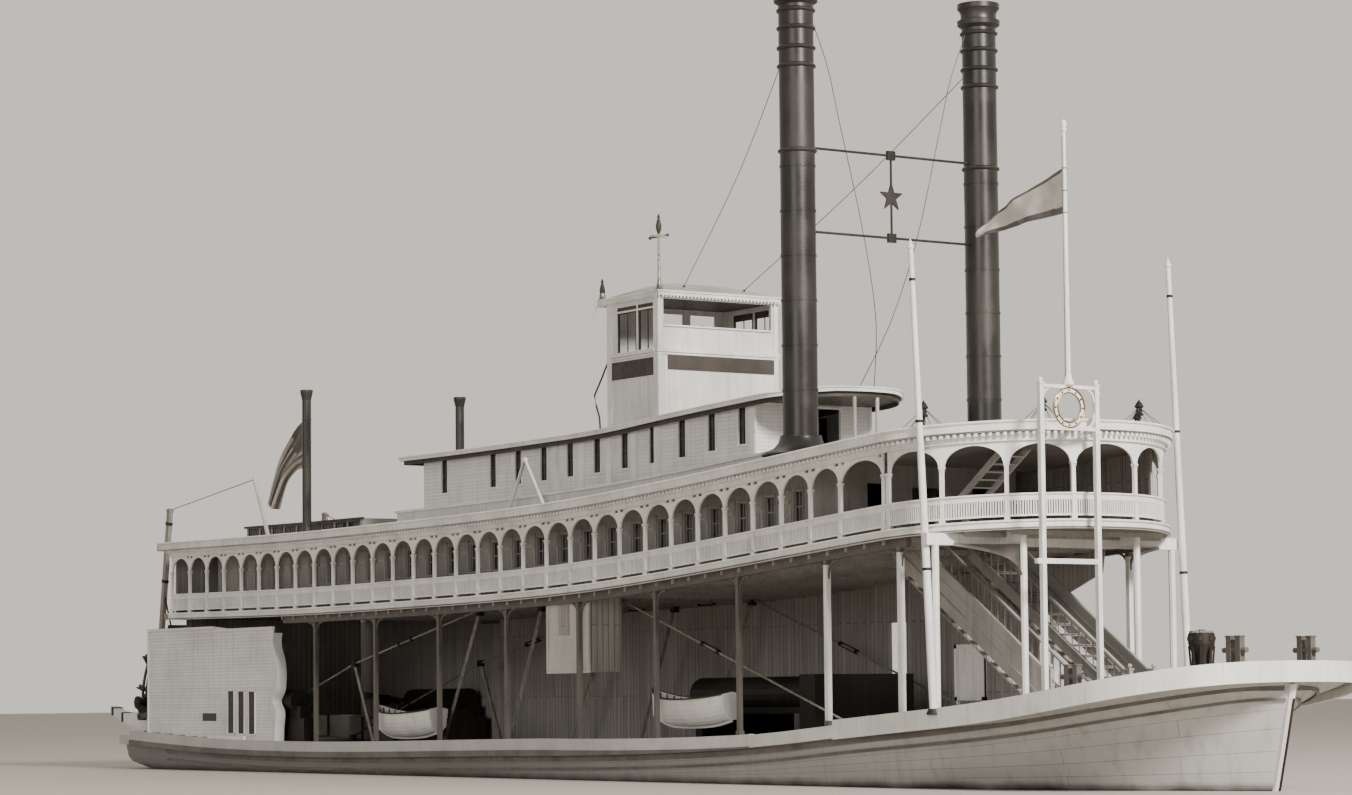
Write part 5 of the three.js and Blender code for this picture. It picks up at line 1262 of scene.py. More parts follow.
def saloon():
    """Windows and stateroom doors of the saloon, one of each to a bay; their casings, sashes and doors are grey as
    painted shade
    """
    windows_x = [x for x in [FIRST_POST + BAY * (i + 0.5) for i in range(SIDE_BAYS)]
                 if SALOON_AFT + 0.06 < x < SALOON_FRONT - 0.06]
    stiles, slats = louvred_door(0.066, 0.196)
    for name, side in SIDES:
        face = side * (SALOON_HALF + WALL)
        sites = [((x, face, upper(x) + 0.118), FACING[side], 1.0) for x in windows_x]
        windows("saloon_{}_" + name, sites, 0.044, 0.096, ("ceiling", "ceiling", "glass"))
        sites = [((x, face, upper(x) + UPPER_THICK + 0.001), FACING[side], 1.0)
                 for x in [middle - BAY / 2 for middle in windows_x[1:]]]
        copies(f"stateroom_doors_{name}", stiles, sites, "ceiling")
        copies(f"stateroom_louvres_{name}", slats, sites, "ceiling")


def texas():
    """Officers' cabins: shutters in the skirt, windows, doors and leaves between them, roof edge"""
    shutter = Shape().block((-0.036, -0.006, -0.001), (0.036, 0.0006, 0.025))
    for x in steps(-0.027, 0.027, 6):
        shutter.block((x - 0.0006, 0, 0.002), (x + 0.0006, 0.0012, 0.022))
    leaf = Shape().block((-0.016, 0, 0), (0.016, 0.005, 0.1))
    for low, high in ((0.008, 0.044), (0.052, 0.092)):
        leaf.block((-0.011, 0.004, low), (0.011, 0.0065, high))
    for name, side in SIDES:
        sites = [((x, side * SKIRT_HALF, roof(x) + 0.016), FACING[side], 1.0) for x in steps(-1.03, 1.07, 14)]
        copies(f"skirt_shutters_{name}", shutter, sites, "panelling")

        def standing(spots, rise, gap):
            # units of 0.1 m stretched between the skirt and the texas roof
            feet = [(x, SKIRT.top(min(x, 0.99), 0.26) + rise) for x in spots]
            return [((x, side * (TEXAS_HALF + WALL), z), FACING[side], (1, 1, (texas_roof(x) - gap - z) / 0.1))
                    for x, z in feet]

        windows("texas_{}_" + name, standing(TEXAS_WINDOWS, 0.054, 0.022), 0.042, 0.1, ("white", "dark", "glass"),
                (0.004, 0.003), (2, 2, 0.005, 0.0026), 0.006)
        copies(f"texas_leaves_{name}", leaf, standing(TEXAS_LEAVES, 0.002, 0.014), "white")
    for face, x, y, wide, heading, probe, rise, gap in (
            ("texas_front", TEXAS_FRONT - 0.001, 0.057, 0.098, -90.0, 0.1, 0.008, 0.026),
            ("texas_aft", TEXAS_AFT, 0.0, 0.070, 90.0, 0.0, 0.028, 0.040)):
        sill = SKIRT.top(x, probe) + rise
        door = casing(wide, texas_roof(x) - gap - sill, 0.006, 0.004)
        copies(f"{face}_doorway", door, [((x, y, sill), heading, 1.0)], "white")
    roof_soffit()
    # the eave board's dark brown is painted shade under the roof's edge
    for name, path, profile, finish in (("texas_eave_board", texas_line(-0.010, -0.020), (0.004, 0.016), "dark"),
                                        ("skirt_cornice", skirt_line(0.004, 0.004), (0.010, 0.008), "white"),
                                        ("texas_roof_edge", texas_line(0.002, -0.006), (0.006, 0.016), "white"),
                                        ("texas_roof_bead", texas_line(0.006, -0.001), 0.003, "white")):
        moulding(name, path, profile, finish, closed=True)


def roof_soffit():
    """Boarding under the texas roof, round in front like the roof itself, dark brown as painted shade"""
    rings = []
    for x in steps(-1.174, TEXAS_ROUND_X, 24)[:-1] + steps(TEXAS_ROUND_X, 1.296, 14):
        turn = max(0.0, x - TEXAS_ROUND_X) / TEXAS_ROUND_LENGTH
        half = (TEXAS_ROOF_HALF - 0.006) * sqrt(max(0.0, 1 - turn * turn))
        under = TEXAS_TOP.under(x, min(half * 0.9, 0.235))
        rings.append(upright_box(x, -half, half, under - 0.0026, under - 0.0004))
    piece("texas_soffit", Shape().loft(rings), "dark", angle=20)


def skirt_line(out, drop):
    """Round the top of the skirt"""
    low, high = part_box("texas_skirt")
    corners = [(low.x, -1), (high.x, -1), (high.x, 1), (low.x, 1)]
    points = []
    for (x0, s0), (x1, s1) in pairs(corners + corners[:1]):
        for t in steps(0, 1, 14)[:-1]:
            x, s = x0 + (x1 - x0) * t, s0 + (s1 - s0) * t
            z = SKIRT.top(min(max(x, low.x + 0.01), high.x - 0.01), 0.29) - drop
            ahead = 0 if x0 != x1 else out if x0 == high.x else -out
            points.append((x + ahead, s * SKIRT_HALF + (s0 * out if s0 == s1 else 0), z))
    return points


def texas_line(out, rise):
    """Round the edge of the texas roof"""
    half = TEXAS_ROOF_HALF + out
    starboard = [(x, -half) for x in steps(TEXAS_ROOF_AFT - out, TEXAS_ROUND_X, 20)[:-1]]
    front = [(TEXAS_ROUND_X + (TEXAS_ROUND_LENGTH + out) * cos(a), half * sin(a)) for a in steps(-pi / 2, pi / 2, 28)]
    flat = starboard + front + [(x, -y) for x, y in reversed(starboard)]
    return [(x, y, texas_roof(min(max(x, -1.17), 1.28)) + rise) for x, y in flat]


def pilothouse():
    """Sashes, mouldings, blank name boards, corner boards, eave, horns, braces and masts of the pilothouse, and its
    bench and the handles of its wheel"""
    out = PILOT_HALF + WALL
    trim, board, bars, horns, rails, masts, finials, handles = (Shape() for _ in range(8))
    # string courses under the sill and over the windows: foot, height, how proud
    courses = ((1.502, 0.013, 0.007), (1.494, 0.006, 0.004), (1.646, 0.006, 0.004))
    for side in (-1, 1):
        # corner boards, lapped round the corners, from the roof of the texas to the eave
        for x, foot_x in ((PILOT_FRONT - 0.012, 0.48), (PILOT_AFT + 0.011, 0.2)):
            y = side * (out - 0.006)
            trim.block((x - 0.0125, y - 0.0085, texas_roof(foot_x)), (x + 0.0150, y + 0.0085, PILOT_EAVE))
        for z, high, proud in courses:
            trim.block((PILOT_AFT + 0.02, side * out, z), (PILOT_FRONT - 0.02, side * (out + proud), z + high))
        board.block((0.218, side * out, 1.427), (0.462, side * (out + 0.003), 1.486))
        for z in (1.424, 1.486):
            trim.block((0.214, side * out, z), (0.466, side * (out + 0.0045), z + 0.003))
        for x, wide in PILOT_WINDOWS:
            y, half = side * (PILOT_HALF + 0.0035), wide / 2
            for edge in (x - half + 0.003, x + half - 0.003):
                bars.post(edge, y, PILOT_SILL, PILOT_HEAD, 0.003)
            for low, high in ((1.643, PILOT_HEAD + 0.0005), (PILOT_SILL, PILOT_SILL + 0.008)):
                bars.block((x - half, y - 0.003, low), (x + half, y + 0.003, high))
            bars.post(x, y, PILOT_SILL, 1.645, 0.0012, 0.0015)
        corner = Vector((PILOT_AFT - 0.050, side * 0.245, PILOT_EAVE + 0.004))
        way = Vector((-0.8, side * 0.6, 0))
        for rise in (1, -1):
            path = [corner + way * (0.004 + 0.020 * t * t) + UP * rise * 0.055 * t for t in steps(0, 1, 7)]
            for i, (a, b) in enumerate(pairs(path)):
                horns.rod(a, b, 0.0062 * (1 - i / 9), 8, 0.0062 * (1 - (i + 1) / 9))
        rails.tube([(x, side * 0.237, z) for x, z in ((0.189, 1.490), (0.150, 1.440), (0.106, 1.388), (0.118, 1.350),
                                                      (0.136, 1.312), (0.140, texas_roof(0.14)))], 0.003)
    for z, high, proud in courses[:2]:
        trim.block((PILOT_FRONT - 0.002, -out - proud, z), (PILOT_FRONT + proud, out + proud, z + high))
    trim.block((PILOT_FRONT - 0.012, -0.215, PILOT_BREAST), (PILOT_FRONT + 0.006, 0.215, PILOT_BREAST + 0.005))
    board.block((PILOT_FRONT - 0.002, -0.200, 1.446), (PILOT_FRONT + 0.003, 0.222, 1.492))
    for y in steps(-0.14, 0.14, 4):
        trim.block((PILOT_FRONT - 0.001, y - 0.0015, 1.518), (PILOT_FRONT + 0.0012, y + 0.0015, PILOT_BREAST))
    foot = texas_roof(0.48)
    trim.block((PILOT_FRONT - 0.001, -out, foot), (PILOT_FRONT + 0.004, out, foot + 0.012))
    aft, front = PILOT_AFT - 0.048, PILOT_FRONT + 0.012
    eave = [(aft, -0.242), (front, -0.242), (front, 0.242), (aft, 0.242)]
    moulding("pilothouse_eave", [(x, y, PILOT_EAVE + 0.007) for x, y in eave], (0.006, 0.013), "white", closed=True)
    bead = [(x + (0.004 if x == front else -0.004), y * 1.016, PILOT_EAVE + 0.014) for x, y in eave]
    moulding("pilothouse_eave_bead", bead, 0.0035, "white", closed=True)
    line = []
    for (x0, y0), (x1, y1) in pairs(eave + eave[:1]):
        line += [(x0 + (x1 - x0) * t, y0 + (y1 - y0) * t, PILOT_EAVE - 0.006) for t in steps(0, 1, 8)[:-1]]
    grown("pilothouse_dentils", "row", path_mesh(line, closed=True), "white", Pitch=0.014, Wide=0.006, Deep=0.010,
          High=0.007)
    ceiling = Shape().block((aft + 0.004, -0.238, PILOT_EAVE - 0.003), (front - 0.004, 0.238, PILOT_EAVE))
    for x, top, foot_radius in ((0.152, 1.770, 0.0072), (0.492, 1.946, 0.0052)):
        masts.turned((x, MAST_Y, 0), [
            (0.016, 1.697), (0.016, 1.702), (0.011, 1.708), (foot_radius + 0.002, 1.722), (foot_radius, 1.74),
            (0.0036, top - 0.070), (0.006, top - 0.068), (0.006, top - 0.062), (0.0036, top - 0.060)], 14)
        finials.turned((x, MAST_Y, top), [(0.0034, -0.062), (0.008, -0.050), (0.010, -0.036), (0.006, -0.018),
                                          (0.0035, -0.012), (0.0052, -0.006), (0.0012, 0.004)], 14)
    yard = ((0.492, MAST_Y - 0.034, 1.868), (0.492, MAST_Y + 0.034, 1.883))
    finials.beam(*yard, 0.0045, 0.006)
    for end in yard:
        finials.ball(end, 0.0055)
    benches = Shape().block((0.205, -0.21, 1.40), (0.245, -0.10, 1.408))
    benches.block((0.205, 0.02, 1.36), (0.245, 0.21, 1.368))
    for away in [Vector((0, u, v)) for u, v in circle(1, 8)]:
        handles.turned(Vector((0.400, 0, 1.480)) + away * 0.105,
                       [(0.0034, -0.002), (0.0046, 0.006), (0.0034, 0.013), (0.0044, 0.018), (0.001, 0.022)], 10, away)
    handles.turned((0.400, 0, 1.480), mirrored((0.017, 0.006), (0.019, 0.003)), 20, AHEAD)
    piece("pilothouse_trim", trim, "white", angle=0)
    piece("pilothouse_boards", board, "dark", angle=0)
    # painted shade: the sashes and the ceiling are dark brown as they lie in shade
    piece("pilothouse_sashes", bars, "dark", angle=0)
    piece("pilothouse_ceiling", ceiling, "dark", angle=0)
    piece("pilothouse_masts", masts, "zinc")
    piece("pilothouse_finials", finials, "dark")
    piece("pilothouse_horns", horns, "white")
    piece("pilothouse_braces", rails, "dark")
    piece("pilot_bench", benches, "varnish", angle=0)
    piece("pilot_wheel_handles", handles, "brass", "steering_wheel")


def chimneys():
    """Tall riveted chimneys with banded rings and flared crowns"""
    # out from the shell and height, from under the crown up, over its lip and down inside
    crown = ((0, 2.458), (0.004, 2.462), (0.013, 2.468), (0.014, 2.482), (0.004, 2.486), (0.002, 2.500),
             (0.006, 2.512), (0.013, 2.520), (0.013, STACK_TOP), (-0.004, STACK_TOP), (-0.004, 2.0), (-0.004, 1.804))
    for name, side in SIDES:
        middle = Vector((STACK_X, side * STACK_Y, 0))
        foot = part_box(f"chimney_{name}")[0].z
        laps_z = steps(foot + 0.2, 1.97, 5)
        rows = [(0.0, foot), (0.084, foot), (0.084, foot + 0.006), (0.080, foot + 0.010)]
        rows += [(0.080 - 0.018 * t, foot + 0.010 + 0.032 * t**0.6) for t in steps(0.1, 1, 8)]
        rows += [(0.062, foot + 0.064), (STACK_RADIUS, foot + 0.066)]
        for z in STACK_RINGS:
            bead = [(0.0065 * sin(a), -0.006 * cos(a)) for a in steps(0.2, 2.94, 6)]
            rows += [(STACK_RADIUS + out, z + rise) for out, rise in ((0, -0.007), *bead, (0, 0.007))]
        rows += [(STACK_RADIUS + out, z) for out, z in crown] + [(0.0, 1.804)]
        made = piece(f"chimney_shell_{name}", Shape().turned(middle, rows, 56), "iron", angle=28)
        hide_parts(f"chimney_{name}")
        laps = Shape().turned(middle + UP * foot, [(0.112, 0.001), (0.118, 0.004), (0.118, 0.009), (0.104, 0.016),
                                                   (0.082, 0.026), (0.068, 0.042), (0.0625, 0.060)], 48)
        for z in laps_z:
            laps.turned(middle + UP * z, mirrored((STACK_RADIUS - 0.001, 0.004), (STACK_RADIUS + 0.0012, 0.004)), 56)
        piece(f"chimney_laps_{name}", laps, "iron")
        paths = [[middle + Vector((u, v, z + rise)) for u, v in [*circle(0.0542, 48), (0.0542, 0)]]
                 for z in laps_z for rise in (-0.0022, 0.0022)]
        paths += [[middle + Vector((0.0532 * cos(a), 0.0532 * sin(a), z)) for z in (foot + 0.08, 2.0)]
                  for a in (-0.3, 2.4)]
        grown(f"chimney_rivets_{name}", "studs", path_mesh(*paths), "iron", Pitch=0.012, Radius=0.0014)


# Stairs, spars and the front
def stair_rise(x):
    """Height of the stair strings' upper edge, from the foot on the forecastle to the boiler deck"""
    foot, head = deck(2.378), upper(1.65) + UPPER_THICK
    return foot + (head - foot) * (2.370 - x) / 0.720


def stairs():
    """Rails, balusters, newels, treads, soffits and boarded outer sides of the twin stairs, and the panel at their
    foot; the rails, balusters and soffits are darkened as painted shade"""
    rails, treads, backs, panel, sites = Shape(), Shape(), Shape(), Shape(), []
    for side in (-1, 1):
        backs.beam(*[(x, side * 0.145, stair_rise(x) - 0.056) for x in (1.668, 2.300)], 0.080, 0.003)
        for x in steps(2.330, 1.670, 14):
            rise = stair_rise(x)
            treads.block((x - 0.017, side * 0.101, rise - 0.0055), (x + 0.019, side * 0.189, rise - 0.0025))
        for y, bars in ((side * 0.100, STAIR_RAILS[:2]), (side * 0.190, STAIR_RAILS)):
            for rise, wide, deep in bars:
                rails.beam(*[(x, y, stair_rise(x) + rise) for x in (1.668, 2.360)], wide, deep)
            for x in (1.660, 2.366):
                low = stair_rise(x) - 0.01
                rails.post(x, y, low, low + 0.112, 0.007)
                rails.post(x, y, low + 0.112, low + 0.117, 0.009)
                rails.ball((x, y, low + 0.124), 0.007)
        sites += [((x, side * 0.100, stair_rise(x) + 0.002), 0.0, 1.0) for x in steps(1.70, 2.33, 21)]
    baluster = Shape().turned((0, 0, 0), [(0.0028, 0), (0.0028, 0.010), (0.0016, 0.018), (0.0032, 0.034),
                                          (0.0018, 0.060), (0.0026, 0.072), (0.0026, 0.084)], 6)
    for x0, x1, low, high, out in (
            (1.895, 2.029, 0.372, 0.520, 0.003), (1.895, 2.029, 0.366, 0.376, 0.006),
            (1.895, 2.029, 0.516, 0.527, 0.006), (1.895, 1.906, 0.366, 0.527, 0.006),
            (2.018, 2.029, 0.366, 0.527, 0.006), (1.9, 1.908, deck(1.9) - 0.002, 0.366, 0.004),
            (2.018, 2.026, deck(2.018) - 0.002, 0.366, 0.004)):
        panel.block((x0, -0.150 - out, low), (x1, -0.150 + out, high))
    piece("stair_soffits", backs, "boarding", angle=0)
    copies("stair_balusters", baluster, sites, "saloon_wall")
    piece("stair_rails", rails, "ceiling", angle=30)
    piece("stair_treads", treads, "freight_planks", angle=0)
    piece("stair_foot_panel", panel, "panelling", angle=0)


def spars():
    """The two spars that stand on the foredeck, with their trucks, bands and shoes"""
    for name, side in SIDES:
        iron, wood = Shape(), Shape()
        head = Vector((2.108 if side < 0 else 2.160, side * 0.460, 1.640))
        foot = Vector((2.184 if side < 0 else 2.217, side * 0.462, deck(2.2) + 0.016))
        way, length = (head - foot).normalized(), (head - foot).length
        wood.turned(foot, [(0.0112, 0.0), (0.0115, 0.10 * length), (0.0105, 0.45 * length), (0.0072, length)], 20, way)
        wood.turned(head - way * 0.004, [(0.0074, 0), (0.0105, 0.003), (0.0105, 0.008), (0.006, 0.013),
                                         (0.0012, 0.030)], 14, way)
        for t in (0.30, 0.62, 0.93):
            radius = 0.0125 - 0.0045 * t
            iron.turned(foot.lerp(head, t), mirrored((radius, 0.004), (radius + 0.001, 0.003)), 16, way)
        iron.turned(foot - UP * 0.016, [(0.020, 0), (0.020, 0.005), (0.014, 0.017)], 16)
        made = piece(f"spar_pole_{name}", wood, "white")
        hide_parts(f"spar_{name}")
        piece(f"spar_irons_{name}", iron, "cast")


def front_works():
    """Knees, feet and sleeves of the stanchions, knees under the front beam, and the landing frame with its ring;
    knees and feet dark as painted shade, the two foremost stanchions sleeved in white
    """
    knees, sleeves, front_knees, collars, trim, ornament = (Shape() for _ in range(6))
    for side in (-1, 1):
        y = side * STANCHION_Y
        for x in STANCHIONS:
            for toward in (-1, 1):
                knees.bent([(x + toward * (0.006 + 0.052 * t * t), y, upper(x) - 0.026 - 0.052 * (1 - t) ** 2)
                            for t in steps(0, 1, 5)], 0.006, 0.005, ACROSS)
            collars.post(x, y, deck(x) + 0.0005, deck(x) + 0.022, 0.0095)
            collars.post(x, y, upper(x) - 0.038, upper(x) - 0.027, 0.009)
        for x in STANCHIONS[-2:]:
            sleeves.post(x, y, deck(x) + 0.0006, upper(x) - 0.0265, 0.0078)
        path = [(2.280 - 0.100 * t, side * (0.216 + 0.165 * t * t), 0.715 + 0.088 * sqrt(t)) for t in steps(0, 1, 10)]
        front_knees.bent(path, 0.010, 0.010)
        front_knees.loft([upright_box(x, y - 0.003, y + 0.003, z, 0.803) for x, y, z in path[:-1]])
    middle = Vector((2.450, -0.182, 0))
    for toward in (-1, 1):
        y = middle.y - toward * 0.100
        trim.post(middle.x, y, 1.236, 1.241, 0.009)
        trim.ball((middle.x, y, 1.247), 0.0075)
        for z in (deck(2.45) + 0.004, 1.100, 1.212):
            trim.post(middle.x, y, z, z + 0.007, 0.0085)
        for z, lean in ((1.118, 1), (1.228, -1)):
            trim.bent([(middle.x, middle.y - toward * (0.093 - 0.040 * t * t), z + lean * 0.040 * (1 - t) ** 2)
                       for t in steps(0, 1, 5)], 0.006, 0.004, AHEAD)
    trim.turned(middle + UP * 1.236, [(0.017, 0), (0.017, 0.006), (0.012, 0.016), (0.0100, 0.03)], 16)
    trim.turned(middle + UP * 1.944, [(0.005, 0), (0.009, 0.002), (0.009, 0.007), (0.006, 0.010), (0.009, 0.018),
                                      (0.009, 0.024), (0.005, 0.032), (0.001, 0.035)], 14)
    centre = Vector((2.4542, -0.182, 1.173))
    for radius, thick in ((0.0555, 0.0022), (0.0415, 0.0018)):
        ornament.tube([centre + ACROSS * u + UP * v for u, v in circle(radius, 40)], thick, joined=True)
    for u, v in circle(0.0485, 12):
        ornament.ball(centre + ACROSS * u + UP * v, 0.0032, 8)
    piece("stanchion_knees", knees, "posts")
    piece("stanchion_sleeves", sleeves, "white", angle=0)
    piece("front_knees", front_knees, "posts", angle=30)
    piece("stanchion_feet", collars, "posts", angle=0)
    piece("landing_frame_trim", trim, "white")
    piece("ring_ornament", ornament, "brass")


# Foredeck
def foredeck_gear():
    """Capstan, bitts, kevels, hatch and anchor on the foredeck"""
    foot = Vector((2.772, 0, deck(2.72)))
    iron, hooks, posts, coaming = (Shape() for _ in range(4))
    iron.turned(foot, [(0.0455, 0.0), (0.0455, 0.013), (0.040, 0.017), (0.026, 0.026), (0.0225, 0.060),
                       (0.0225, 0.096), (0.036, 0.130), (0.0365, 0.134), (0.0365, 0.158), (0.033, 0.162),
                       (0.012, 0.164), (0.010, 0.170), (0.001, 0.171)], 36)
    for out in [Vector((u, v, 0)) for u, v in circle(1, 8)]:
        iron.beam(foot + UP * 0.030 + out * 0.026, foot + UP * 0.126 + out * 0.034, 0.007, 0.006, out)
        spot = foot + UP * 0.146 + out * 0.0352
        hooks.beam(spot, spot + out * 0.0035, 0.009, 0.011)
    for u, v in circle(0.0405, 16):
        spot = foot + Vector((u, v, 0.012))
        iron.rod(spot, spot + UP * 0.0045, 0.002, 6)
    for x, y, high in ((3.040, -0.128, 0.096), (3.040, 0.128, 0.096), (2.640, -0.345, 0.084), (2.640, 0.345, 0.084)):
        low = deck(x)
        for post_x in (x - 0.018, x + 0.018):
            posts.post(post_x, y, low, low + high + 0.002, 0.0088)
            posts.post(post_x, y, low + high + 0.002, low + high + 0.006, 0.0105)
        bar = low + 0.6 * high + 0.006
        posts.rod((x - 0.044, y, bar), (x + 0.044, y, bar), 0.0075, 10)
    for side in (-1, 1):
        for x, y in ((2.300, 0.405), (2.480, 0.372), (1.860, 0.421), (-1.250, 0.421), (-0.300, 0.421)):
            y, z = side * y, deck(x)
            hooks.post(x, y, z, z + 0.014, 0.012, 0.004)
            hooks.tube([(x + t * 0.034, y, z + 0.016 + 0.005 * abs(t)) for t in steps(-1, 1, 6)], 0.0042)
    low = deck(2.55)
    for x0, x1, y0, y1, foot_z, top in (
            (2.440, 2.600, -0.075, -0.067, -0.012, 0.018), (2.440, 2.600, 0.067, 0.075, -0.012, 0.018),
            (2.440, 2.448, -0.067, 0.067, -0.012, 0.018), (2.592, 2.600, -0.067, 0.067, -0.012, 0.018),
            (2.446, 2.594, -0.069, 0.069, 0.008, 0.014),
            *[(2.446, 2.594, y - 0.0007, y + 0.0007, 0.0135, 0.0152) for y in steps(-0.066, 0.066, 6)]):
        coaming.block((x0, y0, low + foot_z), (x1, y1, low + top))
    piece("capstan_iron", iron, "cast")
    piece("capstan_sockets", hooks, "iron")
    piece("bitt_posts", posts, "posts", angle=30)
    piece("deck_hatch", coaming, "planks", angle=0)
    anchor, z = Shape(), deck(2.30) + 0.011
    anchor.rod((2.36, -0.020, z), (2.24, 0.020, z + 0.004), 0.0065, 10, 0.005)
    anchor.beam((2.254, -0.038, z), (2.236, 0.066, z + 0.004), 0.010, 0.012)
    anchor.tube([(2.345 + 0.014 * cos(a), -0.018 + 0.062 * sin(a), z + 0.010 * abs(sin(a)))
                 for a in steps(-1.35, 1.35, 10)], 0.0062)
    for side in (-1, 1):
        anchor.plate([(-0.012, -0.004), (0.0, -0.012), (0.014, 0.0), (0.0, 0.012), (-0.012, 0.004)], 0.004,
                     (2.349, -0.018 + side * 0.0605, z + 0.010), Vector((-0.4, side * 0.9, 0)).normalized(),
                     Vector((0.9, side * 0.4, 0)).normalized())
    anchor.tube([(2.232 + u, 0.0235 + v, z + 0.006) for u, v in circle(0.011, 14)], 0.0028, 6, joined=True)
    piece("bow_anchor", anchor, "cast")


YAWL_ROWS = (
    # x abaft the transom, half breadth, height of the keel and of the gunwale
    (0.0, 0.038, -0.012, 0.066), (0.09, 0.060, -0.027, 0.056), (0.22, 0.064, -0.032, 0.052),
    (0.34, 0.046, -0.026, 0.060), (0.43, 0.005, 0.006, 0.082),
)


def yawl_skin(half, keel, gunwale, turn):
    """Half breadth and height of a yawl's skin, a quarter turn up from the keel"""
    return half * sin(turn) ** 0.75, keel + (gunwale - keel) * (1 - cos(turn)) ** 0.85


# Freight deck
def yawl_line(t):
    """How far abaft the transom, half breadth, keel and gunwale, between the rows"""
    far, half, keel, gunwale = curve_between(YAWL_ROWS, t)
    return far, max(half, 0.003), keel, gunwale


def yawls():
    """Two lapstrake yawls on their chocks: planking, transom, gunwale, keel, ribs and thwarts"""
    for name, transom, z in (("aft", -0.744, 0.285), ("forward", 1.048, 0.325)):
        skin, wood = Shape(), Shape()

        def place(far, y, height):
            return transom - far, YAWL_Y + y, z + height

        for side in (-1, 1):
            for k in range(YAWL_STRAKES):
                rings = []
                for t in steps(0, 4, 24):
                    far, *form = yawl_line(t)
                    (y0, h0), (y1, h1) = (yawl_skin(*form, min(part / YAWL_STRAKES, 1.0) * pi / 2)
                                          for part in (k, k + 1.12))
                    y0, h0 = y0 + 0.0016, h0 - 0.0016 * 0.6
                    rings.append([place(far, side * y, h) for y, h in (
                        (y0, h0), (y1, h1), (max(y1 - 0.0022, 0), h1 + 0.0004), (max(y0 - 0.0022, 0), h0 + 0.0008))])
                skin.loft(rings)
            wood.bent([place(far, side * (half + 0.0015), gunwale)
                       for far, half, _, gunwale in map(yawl_line, steps(0, 4, 24))], 0.006, 0.005)
        _, half, keel, gunwale = YAWL_ROWS[0]
        skin.plate([(-half, gunwale), (-half * 0.8, keel + 0.016), (-half * 0.35, keel), (half * 0.35, keel),
                    (half * 0.8, keel + 0.016), (half, gunwale), (0, gunwale + 0.008)], 0.005,
                   (transom - 0.001, YAWL_Y, z), ACROSS, UP)
        line = [place(far, 0, keel - 0.003) for far, _, keel, _ in map(yawl_line, steps(0, 4, 16))]
        skin.bent(line, 0.005, 0.008)
        skin.beam(line[-1], place(0.434, 0, 0.084), 0.005, 0.007, AHEAD)
        for far, half, keel, gunwale in map(yawl_line, (0.75, 1.6, 2.5)):
            wood.block(place(far - 0.014, -half * 0.94, gunwale - 0.016),
                       place(far + 0.014, half * 0.94, gunwale - 0.011))
        for far, half, keel, gunwale in map(yawl_line, steps(0.3, 3.7, 15)):
            for side in (-1, 1):
                rib = []
                for turn in steps(0.25, pi / 2, 5):
                    y, height = yawl_skin(half, keel + 0.002, gunwale - 0.002, turn)
                    rib.append(place(far, side * max(y - 0.0035, 0.001), height))
                wood.bent(rib, 0.003, 0.0025)
        for x in (transom - 0.110, transom - 0.300):
            wood.block((x - 0.008, -0.388, deck(x) + 0.0003), (x + 0.008, -0.312, deck(x) + 0.010))
        made = piece(f"yawl_{name}_planking", skin, "white", angle=30)
        piece(f"yawl_{name}_fittings", wood, "varnish", angle=30)
        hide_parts(f"yawl_{name}")


def freight_deck():
    """Turnbuckles and seats of the hog chains, and the closet's trim and opening; the opening and the closet's forward
    face are dark boards of painted shade
    """
    links, trim = Shape(), Shape()
    heads = [(x, upper(x) - 0.009) for x in (-0.592, -0.181, 0.284)]
    line = [(-2.5, deck(-2.5) + 0.016), (-1.494, 0.520), *heads, (1.56, deck(1.56) + 0.016)]
    for y in (-CHAIN_Y, CHAIN_Y):
        for a, b in pairs([Vector((x, y, z)) for x, z in line]):
            middle, way = a.lerp(b, 0.42), (b - a).normalized()
            _, over = upright(way)
            for off in (-0.0062, 0.0062):
                links.rod(middle - way * 0.045 + over * off, middle + way * 0.045 + over * off, 0.0024)
            for end in (-0.045, 0.045):
                links.turned(middle + way * end, mirrored((0.0075, 0.006), (0.0085, 0.003)), 12, way)
        for x, z in heads:
            links.post(x, y, z - 0.022, z + 0.004, 0.012, 0.011)
        links.post(-1.494, y, 0.508, 0.532, 0.013, 0.009)
    piece("hog_chain_turnbuckles", links, "cast")
    low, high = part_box("side_closet")
    for x in (low.x, high.x):
        trim.block((x - 0.005, low.y - 0.003, low.z - 0.002), (x + 0.005, low.y + 0.005, high.z))
    trim.block((low.x - 0.003, low.y - 0.0035, low.z - 0.003), (high.x + 0.003, low.y + 0.004, low.z + 0.003))
    piece("closet_trim", trim, "drab", angle=0)
    notch = Shape().block((0.158, low.y - 0.0012, 0.588), (0.228, low.y + 0.004, high.z - 0.001))
    notch.block((high.x - 0.002, low.y + 0.006, low.z + 0.001), (high.x + 0.0012, high.y, high.z - 0.001))
    piece("closet_opening", notch, "boarding", angle=0)


